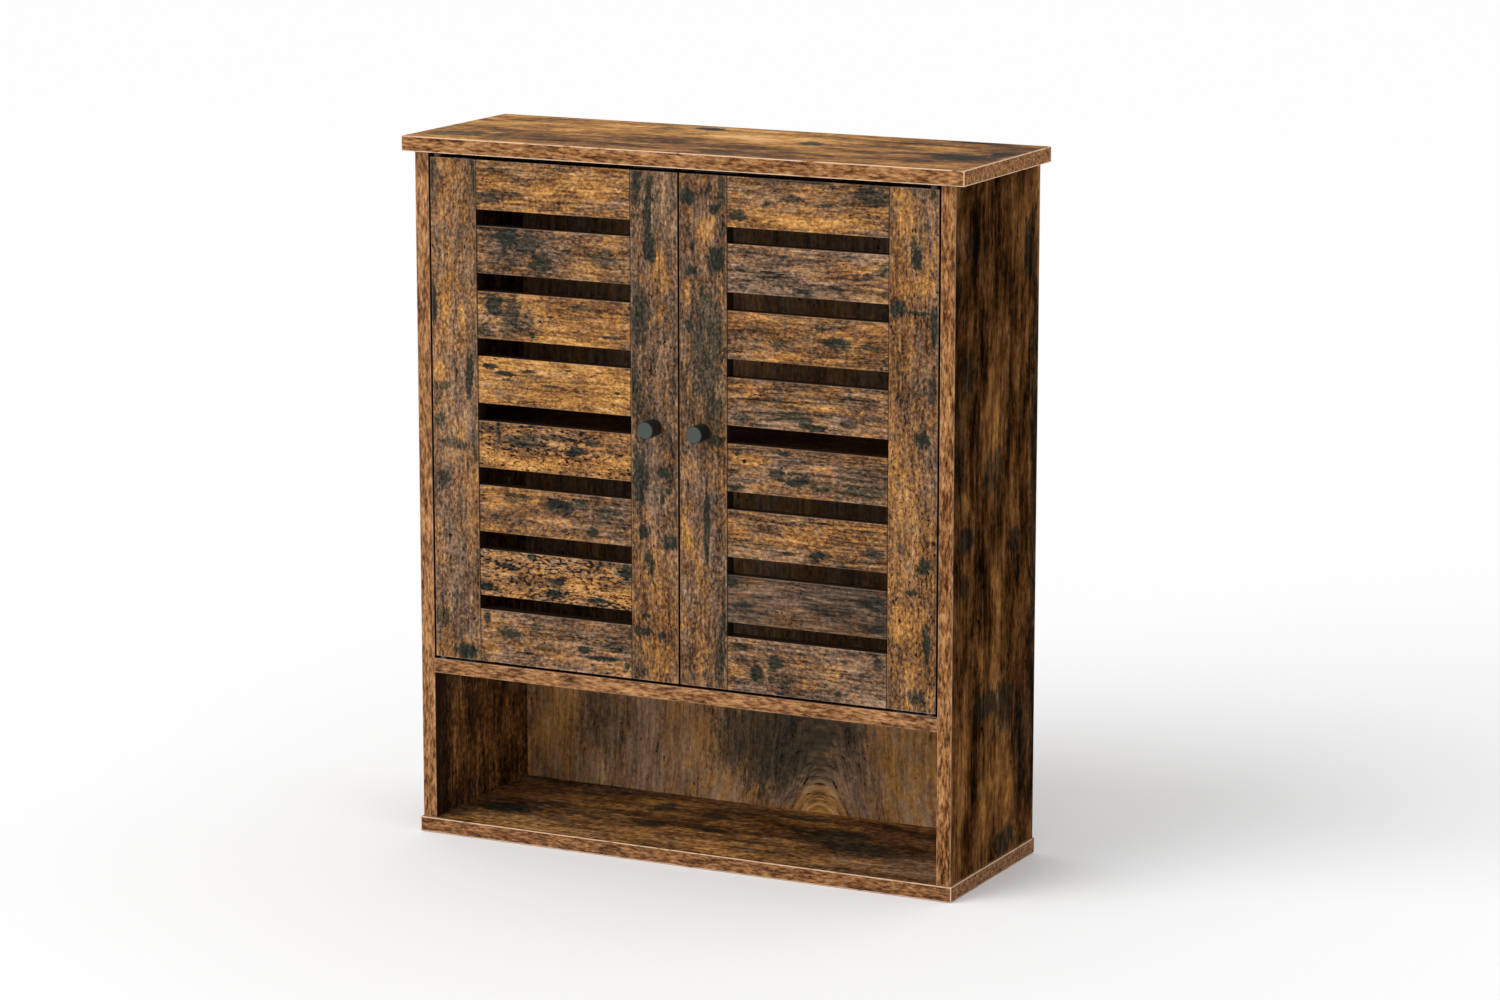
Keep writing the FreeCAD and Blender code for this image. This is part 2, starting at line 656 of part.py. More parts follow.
def rail_dowel_starts_for_door():
    """Where the dowels between the right door's rails and stiles start."""
    starts = []
    for rail_low, rail_high in ((DOOR_BOTTOM_Z, FIELD_LOW_Z), (FIELD_HIGH_Z, DOOR_TOP_Z)):
        for z in (rail_low + RAIL_DOWEL_INSET, rail_high - RAIL_DOWEL_INSET):
            for joint_x in (FIELD_INNER_X, FIELD_OUTER_X):
                starts.append(V(joint_x - DOWEL_LENGTH / 2, DOOR_BACK_Y - DOOR_THICKNESS / 2, z))
    return starts


def make_stile(low_x, extra_cuts):
    """A stile from its low X, with its mortises, dowel holes and extra cuts."""
    stile = block(
        low_x, low_x + STILE_WIDTH, SIDE_FRONT_Y, DOOR_BACK_Y, DOOR_BOTTOM_Z, DOOR_TOP_Z
    )
    stile = rounded(stile, EDGE_ROUND)
    tools = [tenon(index, TENON_FIT) for index in range(SLAT_COUNT)]
    tools += [dowel_hole(start, X_AXIS) for start in rail_dowel_starts_for_door()]
    return cut_all(stile, tools + extra_cuts)


def door_pivot_cuts():
    """What the hinge stile loses for the pivot plates, their screws and the pins' ends."""
    cuts = []
    for pivot in PIVOTS:
        into_door = pivot["into_door"]
        face = V(PIVOT_X, PIVOT_Y, pivot["door_z"])
        cuts.append(pivot_plate(plate_floor(pivot["door_z"], into_door)))
        relief_depth = PIVOT_PIN_IN_DOOR + PIVOT_PIN_RELIEF_ROOM
        cuts.append(rod(face, into_door, PIVOT_PIN_RELIEF_RADIUS, relief_depth))
        cuts += pivot_screw_set(pivot["door_z"], into_door, flat_head_hole)
    return cuts


def make_hinge_stile():
    """The right door's stile beside the side panel."""
    return make_stile(FIELD_OUTER_X, door_pivot_cuts())


def make_lock_stile():
    """The right door's stile with the knob."""
    knob_hole = rod(
        V(KNOB_X, SIDE_FRONT_Y, KNOB_Z), Y_AXIS, KNOB_SCREW_RADIUS + KNOB_SCREW_CLEARANCE, DOOR_THICKNESS
    )
    return make_stile(DOOR_INNER_X, [knob_hole, strike_screw_hole()])


def make_door_rail(low_z, high_z):
    """A rail of the right door between two heights."""
    rail = block(FIELD_INNER_X, FIELD_OUTER_X, SIDE_FRONT_Y, DOOR_BACK_Y, low_z, high_z)
    ends = (("x", FIELD_INNER_X), ("x", FIELD_OUTER_X))
    rail = rounded(rail, EDGE_ROUND, ends)
    return cut_all(rail, [dowel_hole(start, X_AXIS) for start in rail_dowel_starts_for_door()])


# ------------------------------------------------------------ door hardware


def make_board_pivot_plates():
    """The plates in the top board and the middle shelf, with a hole for the fixed pin."""
    plates = []
    for pivot in PIVOTS:
        into_board = pivot["into_door"] * -1
        low_z = plate_floor(pivot["board_z"], into_board)
        pin_hole = rod(V(PIVOT_X, PIVOT_Y, low_z), Z_AXIS, PIVOT_PIN_RADIUS, PIVOT_PLATE_THICKNESS)
        sinks = pivot_screw_set(pivot["board_z"], into_board, flat_head_hole)
        plates.append(cut_all(pivot_plate(low_z), [pin_hole] + sinks))
    return both_sides(plates)


def make_board_pivot_screws():
    """The screws of the plates in the boards."""
    screws = []
    for pivot in PIVOTS:
        screws += pivot_screw_set(pivot["board_z"], pivot["into_door"] * -1, flat_head_screw)
    return both_sides(screws)


def make_pivot_pins():
    """The four fixed pins, from each board plate across the gap into the door."""
    pins = []
    for pivot in PIVOTS:
        into_door = pivot["into_door"]
        start = V(PIVOT_X, PIVOT_Y, pivot["board_z"]) - into_door * PIVOT_PLATE_THICKNESS
        gap = abs(pivot["door_z"] - pivot["board_z"])
        length = PIVOT_PLATE_THICKNESS + gap + PIVOT_PIN_IN_DOOR
        pins.append(rod(start, into_door, PIVOT_PIN_RADIUS, length))
    return both_sides(pins)


def make_pivot_washers():
    """Plastic washers round the pins in the gaps above and below the doors."""
    washers = []
    for pivot in PIVOTS:
        face = V(PIVOT_X, PIVOT_Y, pivot["board_z"])
        thickness = abs(pivot["door_z"] - pivot["board_z"]) - WASHER_CLEARANCE
        disc = rod(face, pivot["into_door"], WASHER_RADIUS, thickness)
        hole = rod(face, pivot["into_door"], PIVOT_PIN_RADIUS + PIVOT_RUNNING_FIT, thickness)
        washers.append(disc.cut(hole))
    return both_sides(washers)


def make_door_pivot_plates():
    """The right door's two plates, whose eyes turn on the pins."""
    plates = []
    for pivot in PIVOTS:
        into_door = pivot["into_door"]
        low_z = plate_floor(pivot["door_z"], into_door)
        eye = rod(
            V(PIVOT_X, PIVOT_Y, low_z), Z_AXIS, PIVOT_PIN_RADIUS + PIVOT_RUNNING_FIT, PIVOT_PLATE_THICKNESS
        )
        sinks = pivot_screw_set(pivot["door_z"], into_door, flat_head_hole)
        plates.append(cut_all(pivot_plate(low_z), [eye] + sinks))
    return plates


def make_door_pivot_screws():
    """The screws of the right door's plates."""
    screws = []
    for pivot in PIVOTS:
        screws += pivot_screw_set(pivot["door_z"], pivot["into_door"], flat_head_screw)
    return screws


def make_knob():
    """The right door's turned knob: a foot, a straight body and a blind hole for its screw."""
    foot = rod(V(KNOB_X, SIDE_FRONT_Y, KNOB_Z), FRONTWARD, KNOB_FOOT_RADIUS, KNOB_FOOT_LENGTH)
    body = rod(
        V(KNOB_X, SIDE_FRONT_Y - KNOB_FOOT_LENGTH, KNOB_Z),
        FRONTWARD,
        KNOB_RADIUS,
        KNOB_LENGTH - KNOB_FOOT_LENGTH,
    )
    rims = [edge for edge in body.Edges if edge.Closed]
    body = body.makeChamfer(KNOB_CHAMFER, rims)
    hole = rod(V(KNOB_X, SIDE_FRONT_Y, KNOB_Z), FRONTWARD, KNOB_SCREW_RADIUS, KNOB_HOLE_DEPTH)
    return foot.fuse(body).cut(hole)


def make_knob_screw():
    """The screw that holds the right knob from behind."""
    return pan_head_screw(
        V(KNOB_X, DOOR_BACK_Y, KNOB_Z),
        FRONTWARD,
        KNOB_SCREW_RADIUS,
        KNOB_SCREW_HEAD_RADIUS,
        KNOB_SCREW_HEAD_LENGTH,
        DOOR_THICKNESS + KNOB_SCREW_IN_KNOB,
    )


def catch_screw_places():
    """Where the right catch's screws go up into the top board."""
    y_place = CATCH_FRONT_Y + CATCH_DEPTH / 2
    low_z = TOP_UNDERSIDE_Z - CATCH_HEIGHT
    return [V(CATCH_X + side * CATCH_SCREW_SPACING / 2, y_place, low_z) for side in (-1, 1)]


def catch_screw_parts(maker):
    """What maker builds at each of the right catch's screws."""
    return [
        maker(
            place,
            Z_AXIS,
            SMALL_SCREW_RADIUS,
            SMALL_SCREW_HEAD_RADIUS,
            SMALL_SCREW_HEAD_LENGTH,
            CATCH_SCREW_LENGTH,
        )
        for place in catch_screw_places()
    ]


def catch_screw_holes():
    """The pilot holes of the right catch's screws."""
    return catch_screw_parts(flat_head_hole)


def magnet_block(room):
    """The magnet of the right catch, grown by room for its pocket."""
    return block(
        CATCH_X - MAGNET_LENGTH / 2 - room,
        CATCH_X + MAGNET_LENGTH / 2 + room,
        CATCH_FRONT_Y - MAGNET_STANDS_OUT,
        CATCH_FRONT_Y + MAGNET_DEPTH + room,
        MAGNET_Z - MAGNET_HEIGHT / 2 - room,
        MAGNET_Z + MAGNET_HEIGHT / 2 + room,
    )


def make_catch_case():
    """The right catch's case."""
    case = block(
        CATCH_X - CATCH_LENGTH / 2,
        CATCH_X + CATCH_LENGTH / 2,
        CATCH_FRONT_Y,
        CATCH_FRONT_Y + CATCH_DEPTH,
        TOP_UNDERSIDE_Z - CATCH_HEIGHT,
        TOP_UNDERSIDE_Z,
    )
    case = rounded(case, CATCH_ROUND, (("z", TOP_UNDERSIDE_Z),))
    return cut_all(case, [magnet_block(MAGNET_FIT)] + catch_screw_holes())


def strike_middle():
    """The middle of the right strike plate's face against the door."""
    return V(CATCH_X, DOOR_BACK_Y, MAGNET_Z)


def strike_screw_parts(maker, face_y):
    """What maker builds at the right strike plate's screw."""
    middle = strike_middle()
    return maker(
        V(middle.x, face_y, middle.z),
        FRONTWARD,
        SMALL_SCREW_RADIUS,
        SMALL_SCREW_HEAD_RADIUS,
        STRIKE_THICKNESS,
        STRIKE_SCREW_LENGTH,
    )


def strike_screw_hole():
    """The hole for the strike plate's screw, through plate and stile."""
    return strike_screw_parts(flat_head_hole, DOOR_BACK_Y + STRIKE_THICKNESS)


def make_strike_plate():
    """The right door's steel strike plate."""
    middle = strike_middle()
    plate = block(
        middle.x - STRIKE_LENGTH / 2,
        middle.x + STRIKE_LENGTH / 2,
        DOOR_BACK_Y,
        DOOR_BACK_Y + STRIKE_THICKNESS,
        middle.z - STRIKE_HEIGHT / 2,
        middle.z + STRIKE_HEIGHT / 2,
    )
    corners = [edge for edge in plate.Edges if abs(edge.Length - STRIKE_THICKNESS) < TOLERANCE]
    return plate.makeFillet(STRIKE_CORNER_RADIUS, corners).cut(strike_screw_hole())


def make_strike_screw():
    """The right strike plate's screw."""
    return strike_screw_parts(flat_head_screw, DOOR_BACK_Y + STRIKE_THICKNESS)


# ---------------------------------------------------------------------- build

os.makedirs("parts", exist_ok=True)

right_side = make_side_panel()
save("top_board", [make_top_board()])
save("bottom_board", [make_bottom_board()])
save("right_side_panel", [right_side])
save("left_side_panel", [mirrored(right_side)])
save("middle_shelf", [make_middle_shelf()])
save("back_panel", [make_back_panel()])
save("hanging_rail", [make_hanging_rail()])
save("loose_shelf", [make_loose_shelf()])
save("shelf_pins", make_shelf_pins())

dowels = [dowel(start, Z_AXIS) for start in top_dowel_starts + bottom_dowel_starts]
dowels += [dowel(start, X_AXIS) for start in shelf_dowel_starts + rail_dowel_starts]
save("carcass_dowels", both_sides(dowels))
cam_bolts = [cam_bolt(top_bolt_seat, DOWN), cam_bolt(shelf_bolt_seat, LEFTWARD)]
save("cam_bolts", both_sides(cam_bolts))
cam_locks = [
    cam_lock(top_cam_face, X_AXIS, Z_AXIS, BOARD / 2),
    cam_lock(shelf_cam_face, DOWN, X_AXIS, BOARD / 2),
]
save("cam_locks", both_sides(cam_locks))
save("long_screws", both_sides([confirmat(y) for y in CONFIRMAT_Y]))

save("board_pivot_plates", make_board_pivot_plates())
save("board_pivot_screws", make_board_pivot_screws())
save("pivot_pins", make_pivot_pins())
save("pivot_washers", make_pivot_washers())
save("catch_cases", both_sides([make_catch_case()]))
save("catch_magnets", both_sides([magnet_block(0)]))
save("catch_screws", both_sides(catch_screw_parts(flat_head_screw)))

right_door = {
    "hinge_stile": [make_hinge_stile()],
    "lock_stile": [make_lock_stile()],
    "top_rail": [make_door_rail(FIELD_HIGH_Z, DOOR_TOP_Z)],
    "bottom_rail": [make_door_rail(DOOR_BOTTOM_Z, FIELD_LOW_Z)],
    "rail_dowels": [dowel(start, X_AXIS) for start in rail_dowel_starts_for_door()],
    "pivot_plates": make_door_pivot_plates(),
    "pivot_screws": make_door_pivot_screws(),
    "knob": [make_knob()],
    "knob_screw": [make_knob_screw()],
    "strike_plate": [make_strike_plate()],
    "strike_screw": [make_strike_screw()],
}
for slat_index in range(SLAT_COUNT):
    right_door["slat_" + str(slat_index + 1)] = [make_slat(slat_index)]

for piece, solids in right_door.items():
    save("right_door_" + piece, solids)
    save("left_door_" + piece, [mirrored(solid) for solid in solids])
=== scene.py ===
"""The looks of the hanging wall cabinet: rustic foil on every board, dark knobs and plain hardware."""
import math

import bpy
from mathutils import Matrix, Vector


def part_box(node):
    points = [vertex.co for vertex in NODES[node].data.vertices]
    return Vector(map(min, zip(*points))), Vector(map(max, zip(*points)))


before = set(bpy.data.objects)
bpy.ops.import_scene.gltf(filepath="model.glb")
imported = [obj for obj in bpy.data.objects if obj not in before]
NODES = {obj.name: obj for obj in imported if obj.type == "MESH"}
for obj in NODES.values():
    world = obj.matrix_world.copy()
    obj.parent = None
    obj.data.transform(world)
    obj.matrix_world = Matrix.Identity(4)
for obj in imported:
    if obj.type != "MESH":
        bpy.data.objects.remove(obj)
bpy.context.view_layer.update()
MM = 0.001

# ------------------------------------------------------------ camera and stage

IMAGE_WIDTH_PX = 1500
FOCAL_PX = 4731.2
SENSOR_MM = 36.0
CAMERA_PLACE = Vector((2.0560, -4.1553, 1.2588))
CAMERA_YAW = math.radians(26.57)
CAMERA_PITCH = math.radians(11.35)
CAMERA_REACH = 100.0
FLOOR_HALF = 30.0
FLOOR_Z = -0.0005
FLOOR_COLOUR = (0.97, 0.97, 0.97, 1)
FLOOR_ROUGHNESS = 0.9
WORLD_STRENGTH = 0.75
KEY_DIRECTION = (-0.45, -0.62, 0.64)
KEY_STRENGTH = 1.3
KEY_ANGLE = math.radians(45)
SOFTBOX_PLACE = (-1.9, -3.2, 1.6)
SOFTBOX_SIZE = 1.6
SOFTBOX_WATTS = 12
LIGHT_TARGET = Vector((0, -0.1, 0.35))


def link(name, data):
    """A new object of the scene."""
    piece = bpy.data.objects.new(name, data)
    bpy.context.scene.collection.objects.link(piece)
    return piece


def aim(light, direction):
    """Turn a light so that it shines along a direction."""
    light.rotation_euler = Vector(direction).to_track_quat("-Z", "Y").to_euler()


def make_camera():
    """A long lens from the front right, looking down on the cabinet."""
    data = bpy.data.cameras.new("camera")
    data.sensor_width = SENSOR_MM
    data.lens = FOCAL_PX * SENSOR_MM / IMAGE_WIDTH_PX
    data.clip_end = CAMERA_REACH
    camera = link("camera", data)
    camera.location = CAMERA_PLACE
    camera.rotation_euler = (math.pi / 2 - CAMERA_PITCH, 0, CAMERA_YAW)
    bpy.context.scene.camera = camera


def make_lights():
    """A pale world, a very soft key from the upper left and a softbox for the gloss."""
    world = bpy.data.worlds.new("studio")
    world.use_nodes = True
    background = world.node_tree.nodes["Background"]
    background.inputs["Color"].default_value = (1, 1, 1, 1)
    background.inputs["Strength"].default_value = WORLD_STRENGTH
    bpy.context.scene.world = world
    bpy.context.scene.view_settings.view_transform = "Standard"

    key = bpy.data.lights.new("key_light", "SUN")
    key.energy = KEY_STRENGTH
    key.angle = KEY_ANGLE
    aim(link("key_light", key), -Vector(KEY_DIRECTION))

    softbox = bpy.data.lights.new("softbox", "AREA")
    softbox.size = SOFTBOX_SIZE
    softbox.energy = SOFTBOX_WATTS
    lamp = link("softbox", softbox)
    lamp.location = SOFTBOX_PLACE
    aim(lamp, LIGHT_TARGET - Vector(SOFTBOX_PLACE))


def make_floor():
    """A plain pale floor under the cabinet."""
    mesh = bpy.data.meshes.new("floor")
    turns = ((-1, -1), (1, -1), (1, 1), (-1, 1))
    corners = [(x * FLOOR_HALF, y * FLOOR_HALF, FLOOR_Z) for x, y in turns]
    mesh.from_pydata(corners, [], [(0, 1, 2, 3)])
    material = bpy.data.materials.new("stage_floor")
    material.use_nodes = True
    shader = material.node_tree.nodes["Principled BSDF"]
    shader.inputs["Base Color"].default_value = FLOOR_COLOUR
    shader.inputs["Roughness"].default_value = FLOOR_ROUGHNESS
    shader.inputs["Specular IOR Level"].default_value = 0.0
    mesh.materials.append(material)
    link("floor", mesh)


# ---------------------------------------------------------------- node helpers


def paint(red, green, blue):
    """A linear colour from display values of 0 to 255."""
    values = (red / 255, green / 255, blue / 255)
    return tuple(v / 12.92 if v <= 0.04045 else ((v + 0.055) / 1.055) ** 2.4 for v in values)


def feed(tree, socket, value):
    """Link a socket into an input, or set the input's value."""
    if isinstance(value, bpy.types.NodeSocket):
        tree.links.new(value, socket)
    else:
        socket.default_value = value


def add(tree, kind, inputs=None, **properties):
    """A new shader node; inputs maps socket names or numbers to values or to other sockets."""
    node = tree.nodes.new(kind)
    for key, value in properties.items():
        setattr(node, key, value)
    for key, value in (inputs or {}).items():
        feed(tree, node.inputs[key], value)
    return node


def calc(tree, operation, *values):
    """The result of a Math node."""
    return add(tree, "ShaderNodeMath", dict(enumerate(values)), operation=operation).outputs[0]


def move(tree, operation, first, second):
    """The result of a Vector Math node."""
    return add(tree, "ShaderNodeVectorMath", {0: first, 1: second}, operation=operation).outputs[0]


def reach(tree, vector):
    """The length of a vector."""
    return add(tree, "ShaderNodeVectorMath", {0: vector}, operation="LENGTH").outputs["Value"]


def facing(tree, normal, direction):
    """How much a normal points along a direction."""
    values = {0: normal, 1: direction}
    return add(tree, "ShaderNodeVectorMath", values, operation="DOT_PRODUCT").outputs["Value"]


def split(tree, vector):
    """The X, Y and Z of a vector."""
    return add(tree, "ShaderNodeSeparateXYZ", {0: vector}).outputs


def join(tree, x, y, z):
    """A vector from its X, Y and Z."""
    return add(tree, "ShaderNodeCombineXYZ", {0: x, 1: y, 2: z}).outputs[0]


def noise(tree, place, scale, detail=2.0, roughness=0.5):
    """Noise of a place, with so many waves per metre along each axis."""
    values = {
        "Vector": move(tree, "MULTIPLY", place, scale),
        "Scale": 1.0,
        "Detail": detail,
        "Roughness": roughness,
    }
    return add(tree, "ShaderNodeTexNoise", values).outputs["Fac"]


def step(tree, value, low, high):
    """A smooth step, 0 at low and 1 at high."""
    values = {"Value": value, "From Min": low, "From Max": high}
    node = add(tree, "ShaderNodeMapRange", values, interpolation_type="SMOOTHSTEP")
    return node.outputs["Result"]


def ramp(tree, value, stops):
    """A colour ramp through (position, colour) stops."""
    node = add(tree, "ShaderNodeValToRGB", {"Fac": value})
    elements = node.color_ramp.elements
    while len(elements) < len(stops):
        elements.new(0.5)
    for element, (position, colour) in zip(elements, stops):
        element.position = position
        element.color = (*colour, 1)
    return node.outputs["Color"]


def blend(tree, factor, first, second):
    """A mix of two colours."""
    node = add(tree, "ShaderNodeMix", data_type="RGBA")
    sockets = {socket.identifier: socket for socket in node.inputs}
    feed(tree, sockets["Factor_Float"], factor)
    feed(tree, sockets["A_Color"], first)
    feed(tree, sockets["B_Color"], second)
    return next(socket for socket in node.outputs if socket.identifier == "Result_Color")


def layered(tree, start, layers):
    """start plus each noise layer's distance from its middle, times its weight."""
    total = start
    for layer, weight in layers:
        centred = calc(tree, "SUBTRACT", layer, 0.5)
        total = calc(tree, "MULTIPLY_ADD", centred, weight, total)
    return total


def new_group(name, inputs, outputs):
    """A node group with named sockets; returns its tree, its inputs and its outputs."""
    tree = bpy.data.node_groups.new(name, "ShaderNodeTree")
    for direction, sockets in (("INPUT", inputs), ("OUTPUT", outputs)):
        for socket_name, kind in sockets:
            tree.interface.new_socket(socket_name, in_out=direction, socket_type="NodeSocket" + kind)
    source = tree.nodes.new("NodeGroupInput")
    sink = tree.nodes.new("NodeGroupOutput")
    return tree, source.outputs, sink.inputs


def use(tree, group, inputs):
    """The outputs of a node that uses a group."""
    node = add(tree, "ShaderNodeGroup", node_tree=group)
    for key, value in inputs.items():
        feed(tree, node.inputs[key], value)
    return node.outputs


# ------------------------------------------------------------- the rustic foil
# Tone runs from 0, black, to 1, pale. The warm and the cool ramp are about equally light.

WARM_RAMP = (
    (0.00, paint(12, 7, 4)),
    (0.12, paint(38, 22, 9)),
    (0.24, paint(70, 43, 20)),
    (0.36, paint(98, 64, 35)),
    (0.48, paint(127, 86, 46)),
    (0.60, paint(158, 110, 56)),
    (0.72, paint(186, 132, 68)),
    (0.86, paint(208, 156, 92)),
    (1.00, paint(226, 184, 126)),
)
COOL_RAMP = (
    (0.00, paint(9, 8, 8)),
    (0.12, paint(28, 24, 19)),
    (0.24, paint(54, 44, 35)),
    (0.36, paint(81, 65, 52)),
    (0.48, paint(109, 86, 69)),
    (0.60, paint(137, 108, 85)),
    (0.72, paint(161, 128, 101)),
    (0.86, paint(184, 152, 121)),
    (1.00, paint(206, 178, 148)),
)
STAIN_RAMP = (
    (0.00, paint(8, 8, 7)),
    (0.24, paint(46, 46, 36)),
    (0.50, paint(98, 90, 68)),
    (1.00, paint(190, 172, 138)),
)

# Noises: waves per metre along the grain, across it in the face and through the board, then the
# detail and the roughness.
SWAY = ((5, 14, 14), 2.0)
PATCHES = ((6, 22, 22), 3.0, 0.55)
CLOUDS = ((24, 75, 75), 2.0, 0.6)
MOTTLE = ((220, 340, 340), 2.0, 0.7)
STRANDS = ((22, 320, 320), 2.0, 0.7)
FIBRES = ((150, 1100, 1100), 1.0, 0.6)
STAIN_CLOUDS = ((12, 34, 34), 4.0, 0.6)
FLECKS = ((190, 430, 430), 1.0, 0.5)
GATHERING = ((24, 60, 60), 2.0, 0.6)
SEAMS = ((8, 90, 90), 3.0, 0.6)
HUE_PATCHES = ((8, 26, 26), 3.0, 0.6)
HUE_SPECKS = ((90, 180, 180), 1.0)
RAGGED_OUTLINE = ((85, 250, 250), 4.0, 0.8)

# How far the grain sways sideways, in metres.
SWAY_SIZE = 0.022

# A stain or a pit starts where a noise passes its edge. The board's setting moves the edge, and
# the softness is how far past it the mark is at its full strength. A crack runs where a noise is
# at its middle, and the board's setting widens it.
STAIN_MOTTLE = 0.25
STAIN_STRANDS = 0.2
STAIN_EDGE = 0.86
STAIN_EDGE_MOVE = -0.3
STAIN_SOFTNESS = 0.12
PIT_EDGE = 0.78
PIT_EDGE_MOVE = -0.22
PIT_GATHERING = -0.4
PIT_SOFTNESS = 0.07
CRACK_THINNEST = 0.0001
CRACK_WIDENING = 0.022
CRACK_FADE = (0.3, 1.0)
CRACK_GATHERING = (0.48, 0.6)

# The weights of all this on the tone, on the hue and on the height of the surface.
# RELIEF_IN_DARK is how the fine relief changes in dark places, and HUE_FADE is where the print
# turns from the cool ramp to the warm one.
BRIGHT_TONE = 0.15
FIBRE_TONE = 0.25
RELIEF_IN_DARK = -0.35
PIT_TONE = -0.42
CRACK_TONE = -0.22
HUE_PATCH_WEIGHT = 1.5
HUE_SPECK_WEIGHT = 0.9
BRIGHT_HUE = 0.35
HUE_FADE = (0.15, 0.85)
MIDDLE_HEIGHT = 0.5
FIBRE_HEIGHT = 0.5
STRAND_HEIGHT = 0.4
PIT_HEIGHT = -0.35
CRACK_HEIGHT = -0.6


def make_foil_group():
    """The printed foil: fibres, warm and cool tones, stains, pits and cracks along the grain."""
    settings = ("Tone", "Warmth", "Mottle", "Lines", "Pits", "Stains", "Stain tone", "Cracks",
                "Contrast", "Dark", "Bright")
    tree, source, sink = new_group(
        "rustic_foil",
        [("Place", "Vector")] + [(setting, "Float") for setting in settings],
        [("Color", "Color"), ("Height", "Float")],
    )
    place = source["Place"]
    drift = calc(tree, "MULTIPLY", noise(tree, place, *SWAY), SWAY_SIZE)
    waved = move(tree, "ADD", place, join(tree, 0.0, drift, drift))

    patches = noise(tree, waved, *PATCHES)
    clouds = noise(tree, waved, *CLOUDS)
    mottle = noise(tree, waved, *MOTTLE)
    strands = noise(tree, waved, *STRANDS)
    fibres = noise(tree, waved, *FIBRES)

    stain_noise = noise(tree, waved, *STAIN_CLOUDS)
    stain_noise = layered(tree, stain_noise, ((mottle, STAIN_MOTTLE), (strands, STAIN_STRANDS)))
    stain_edge = calc(tree, "MULTIPLY_ADD", source["Stains"], STAIN_EDGE_MOVE, STAIN_EDGE)
    stain = step(tree, calc(tree, "SUBTRACT", stain_noise, stain_edge), 0.0, STAIN_SOFTNESS)
    dark = calc(tree, "MAXIMUM", source["Dark"], stain)

    contrast = source["Contrast"]
    broad = layered(tree, source["Tone"], ((patches, contrast), (clouds, contrast)))
    broad = calc(tree, "MULTIPLY_ADD", source["Bright"], BRIGHT_TONE, broad)
    to_stain = calc(tree, "SUBTRACT", source["Stain tone"], broad)
    broad = calc(tree, "MULTIPLY_ADD", dark, to_stain, broad)
    fine = calc(tree, "MULTIPLY", calc(tree, "SUBTRACT", mottle, 0.5), source["Mottle"])
    lined = calc(tree, "MULTIPLY", calc(tree, "SUBTRACT", strands, 0.5), source["Lines"])
    relief = layered(tree, calc(tree, "ADD", fine, lined), ((fibres, FIBRE_TONE),))
    calmed = calc(tree, "MULTIPLY_ADD", dark, RELIEF_IN_DARK, 1.0)
    tone = calc(tree, "MULTIPLY_ADD", relief, calmed, broad)

    flecks = noise(tree, waved, *FLECKS)
    gathered = noise(tree, waved, *GATHERING)
    pit_edge = calc(tree, "MULTIPLY_ADD", source["Pits"], PIT_EDGE_MOVE, PIT_EDGE)
    pit_edge = layered(tree, pit_edge, ((gathered, PIT_GATHERING),))
    pits = step(tree, calc(tree, "SUBTRACT", flecks, pit_edge), 0.0, PIT_SOFTNESS)
    tone = calc(tree, "MULTIPLY_ADD", pits, PIT_TONE, tone)

    seam = calc(tree, "ABSOLUTE", layered(tree, 0.0, ((noise(tree, waved, *SEAMS), 1.0),)))
    seam_width = calc(tree, "MULTIPLY_ADD", source["Cracks"], CRACK_WIDENING, CRACK_THINNEST)
    crack = step(tree, calc(tree, "DIVIDE", seam, seam_width), *CRACK_FADE)
    crack = calc(tree, "SUBTRACT", 1.0, crack)
    crack = calc(tree, "MULTIPLY", crack, step(tree, gathered, *CRACK_GATHERING))
    tone = calc(tree, "MULTIPLY_ADD", crack, CRACK_TONE, tone)

    hue_patches = noise(tree, waved, *HUE_PATCHES)
    hue_specks = noise(tree, place, *HUE_SPECKS)
    hue_layers = ((hue_patches, HUE_PATCH_WEIGHT), (hue_specks, HUE_SPECK_WEIGHT))
    hue = layered(tree, source["Warmth"], hue_layers)
    hue = calc(tree, "MULTIPLY_ADD", source["Bright"], BRIGHT_HUE, hue)
    warmth = step(tree, hue, *HUE_FADE)
    colour = blend(tree, warmth, ramp(tree, tone, COOL_RAMP), ramp(tree, tone, WARM_RAMP))
    feed(tree, sink["Color"], blend(tree, dark, colour, ramp(tree, tone, STAIN_RAMP)))

    height = layered(tree, MIDDLE_HEIGHT, ((fibres, FIBRE_HEIGHT), (strands, STRAND_HEIGHT)))
    height = calc(tree, "MULTIPLY_ADD", pits, PIT_HEIGHT, height)
    height = calc(tree, "MULTIPLY_ADD", crack, CRACK_HEIGHT, height)
    feed(tree, sink["Height"], height)
    return tree


BLOTCH_RAGGEDNESS = 2.8
BLOTCH_FADE = (0.6, 1.1)


def make_blotch_group():
    """A blotch of a given middle and size, with a ragged outline."""
    tree, source, sink = new_group(
        "blotch",
        [("Place", "Vector"), ("Ragged", "Float"), ("Middle", "Vector"), ("Size", "Vector")],
        [("Mask", "Float")],
    )
    offset = move(tree, "SUBTRACT", source["Place"], source["Middle"])
    far = reach(tree, move(tree, "DIVIDE", offset, source["Size"]))
    far = layered(tree, far, ((source["Ragged"], BLOTCH_RAGGEDNESS),))
    feed(tree, sink["Mask"], calc(tree, "SUBTRACT", 1.0, step(tree, far, *BLOTCH_FADE)))
    return tree


# How far from the edge the rim has its full strength and where it ends, in metres.
RIM_FADE = (0.0006, 0.0012)
# The rim's pale colour is partly worn foil and partly a painted highlight along the edges.
RIM_WEAR_AND_HIGHLIGHT_COLOUR = (*paint(232, 196, 164), 1)
RIM_WEAR = ((60, 60, 60), 3.0, 0.6)
RIM_WEAR_FADE = (0.25, 0.5)


